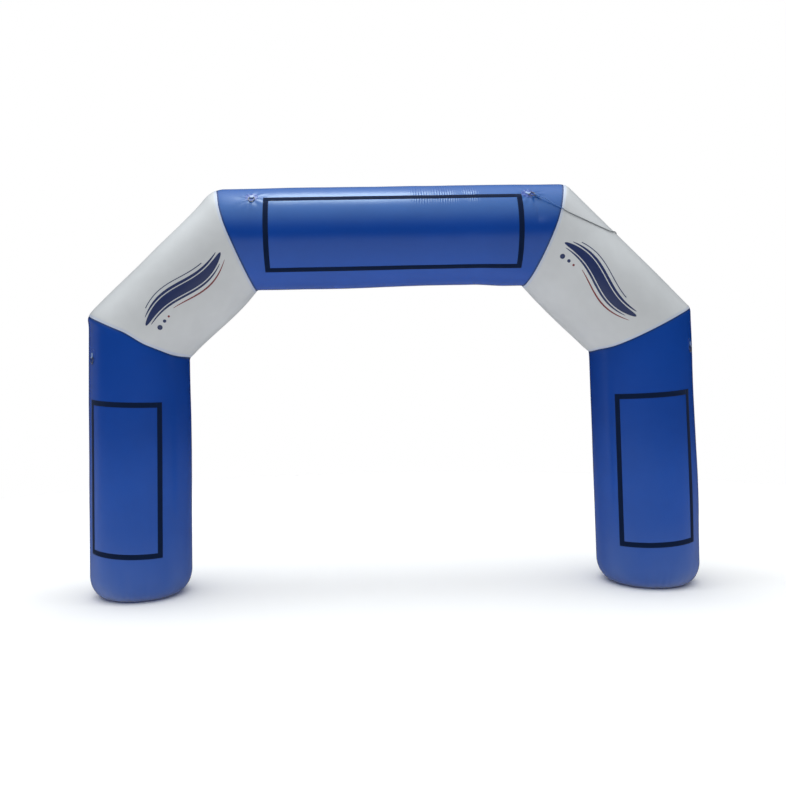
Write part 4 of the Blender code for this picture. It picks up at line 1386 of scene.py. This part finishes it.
SKY = (                   # (direction, from 0 straight down to 1 straight up; brightness)
    (0.00, 0.95), (0.25, 0.95), (0.38, 0.92), (0.44, 0.52), (0.49, 0.05),
    (0.60, 0.03), (0.70, 0.36), (0.85, 1.40), (0.96, 1.97), (1.00, 2.04),
)
SKY_SCALE = 2.5           # the curve itself holds numbers from 0 to 1
SKY_COLOUR = (0.95, 0.985, 1.0)
SKY_TO_RIGHT = -0.15
SKY_BEHIND_ARCH = 0.75    # how much less of it the glossy rays see there
BACKDROP = (1.0, 1.0, 1.0)


def light_the_room():
    """Soft light from above, dim round the sides, and a plain white backdrop."""
    world = bpy.data.worlds.new("studio")
    bpy.context.scene.world = world
    world.use_nodes = True
    room = Nodes(world.node_tree)
    room.tree.nodes.clear()
    _, (x, y, z) = room.split(room.node("TexCoord", output="Generated"))
    ramp = room.tree.nodes.new("ShaderNodeFloatCurve")
    points = ramp.mapping.curves[0].points
    curve = [(height, brightness / SKY_SCALE) for height, brightness in SKY]
    points[0].location, points[1].location = curve[:2]
    for place in curve[2:]:
        points.new(*place)
    ramp.mapping.update()
    room.feed(ramp.inputs["Value"], room.node("MapRange", {"Value": z, "From Min": -1}))
    seen = room.tree.nodes.new("ShaderNodeLightPath").outputs
    hidden = room.times(room.rise(y, 0.0, 0.85, 0.0, SKY_BEHIND_ARCH), seen["Is Glossy Ray"])
    uneven = room.times(room.times(ramp.outputs[0], SKY_SCALE),
                        room.sum("MULTIPLY_ADD", x, SKY_TO_RIGHT, 1.0))
    strength = room.times(uneven, room.sum("SUBTRACT", 1.0, hidden))
    sky = room.node("Background", {"Color": SKY_COLOUR, "Strength": strength})
    backdrop = room.node("Background", {"Color": BACKDROP})
    either = room.node("MixShader", (seen["Is Camera Ray"], sky, backdrop))
    room.feed(room.tree.nodes.new("ShaderNodeOutputWorld").inputs["Surface"], either)


def soft_box(name, place, target, size, power, colour=(1, 1, 1)):
    data = bpy.data.lights.new(name, "AREA")
    data.shape = "RECTANGLE"
    data.size, data.size_y = size
    data.energy, data.color = power, colour
    back = unit(np.array(place, float) - np.array(target, float))
    side = unit(np.cross((0, 1, 0.001), back))
    set_axes(put(name, data), side, np.cross(back, side), back, place)


# ---- everything together

def build_arch():
    frames = {name: build_frame(name + "_tape", ARCH[name], *sizes)
              for name, sizes in FRAMES.items()}
    held = {}
    for name, fitting in FITTINGS.items():
        held[name] = [build_patch(fitting), build_tab(fitting)]
        build_ring(fitting)
    round_it = 2 * math.pi * RADIUS + SEAM_ALLOWANCE
    cloth = build_beam()
    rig.sheet(cloth, flat=(round_it, 3.10), held="stretched", area=8.9,
             rests_on=["diagonal_left", "diagonal_right"],
             with_pieces=frames["beam"] + held["beam_left"] + held["beam_right"])
    for hand in ("left", "right"):
        leg = "leg_" + hand
        cloth = build_leg(hand)
        base = build_base(hand)
        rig.sheet(cloth, flat=(round_it, 2.85), held="stretched", area=8.0,
                 rests_on=[base], with_pieces=frames[leg] + held[leg])
        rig.sheet(base, flat=(2 * BASE_RADIUS, 2 * BASE_RADIUS), held="laid",
                 area=math.pi * BASE_RADIUS ** 2)
        white = build_diagonal(hand)
        pieces = build_print(hand, *PRINT_PLACES[hand])
        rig.sheet(white, flat=(round_it, 1.82), held="stretched", area=4.3,
                 rests_on=[leg], with_pieces=pieces)


place_camera()
build_rope(FITTINGS["beam_right"].ring_frame())
build_floor()
light_the_room()
soft_box("overhead", (-0.45, 0.0, 9.0), (-0.45, 0.0, 3.9), (2.9, 3.0), 232, (0.90, 0.98, 1.0))
soft_box("left", (-7.5, 1.6, 1.9), (-3.0, 0, 1.6), (3.5, 4.0), 10)
build_arch()
scene = bpy.context.scene
scene.view_settings.view_transform = "Standard"
with open("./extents.json", "w") as sizes:
    json.dump({"cad": [list(corner) for corner in cad_box],
               "visual": [list(corner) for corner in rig.bounds()]}, sizes)
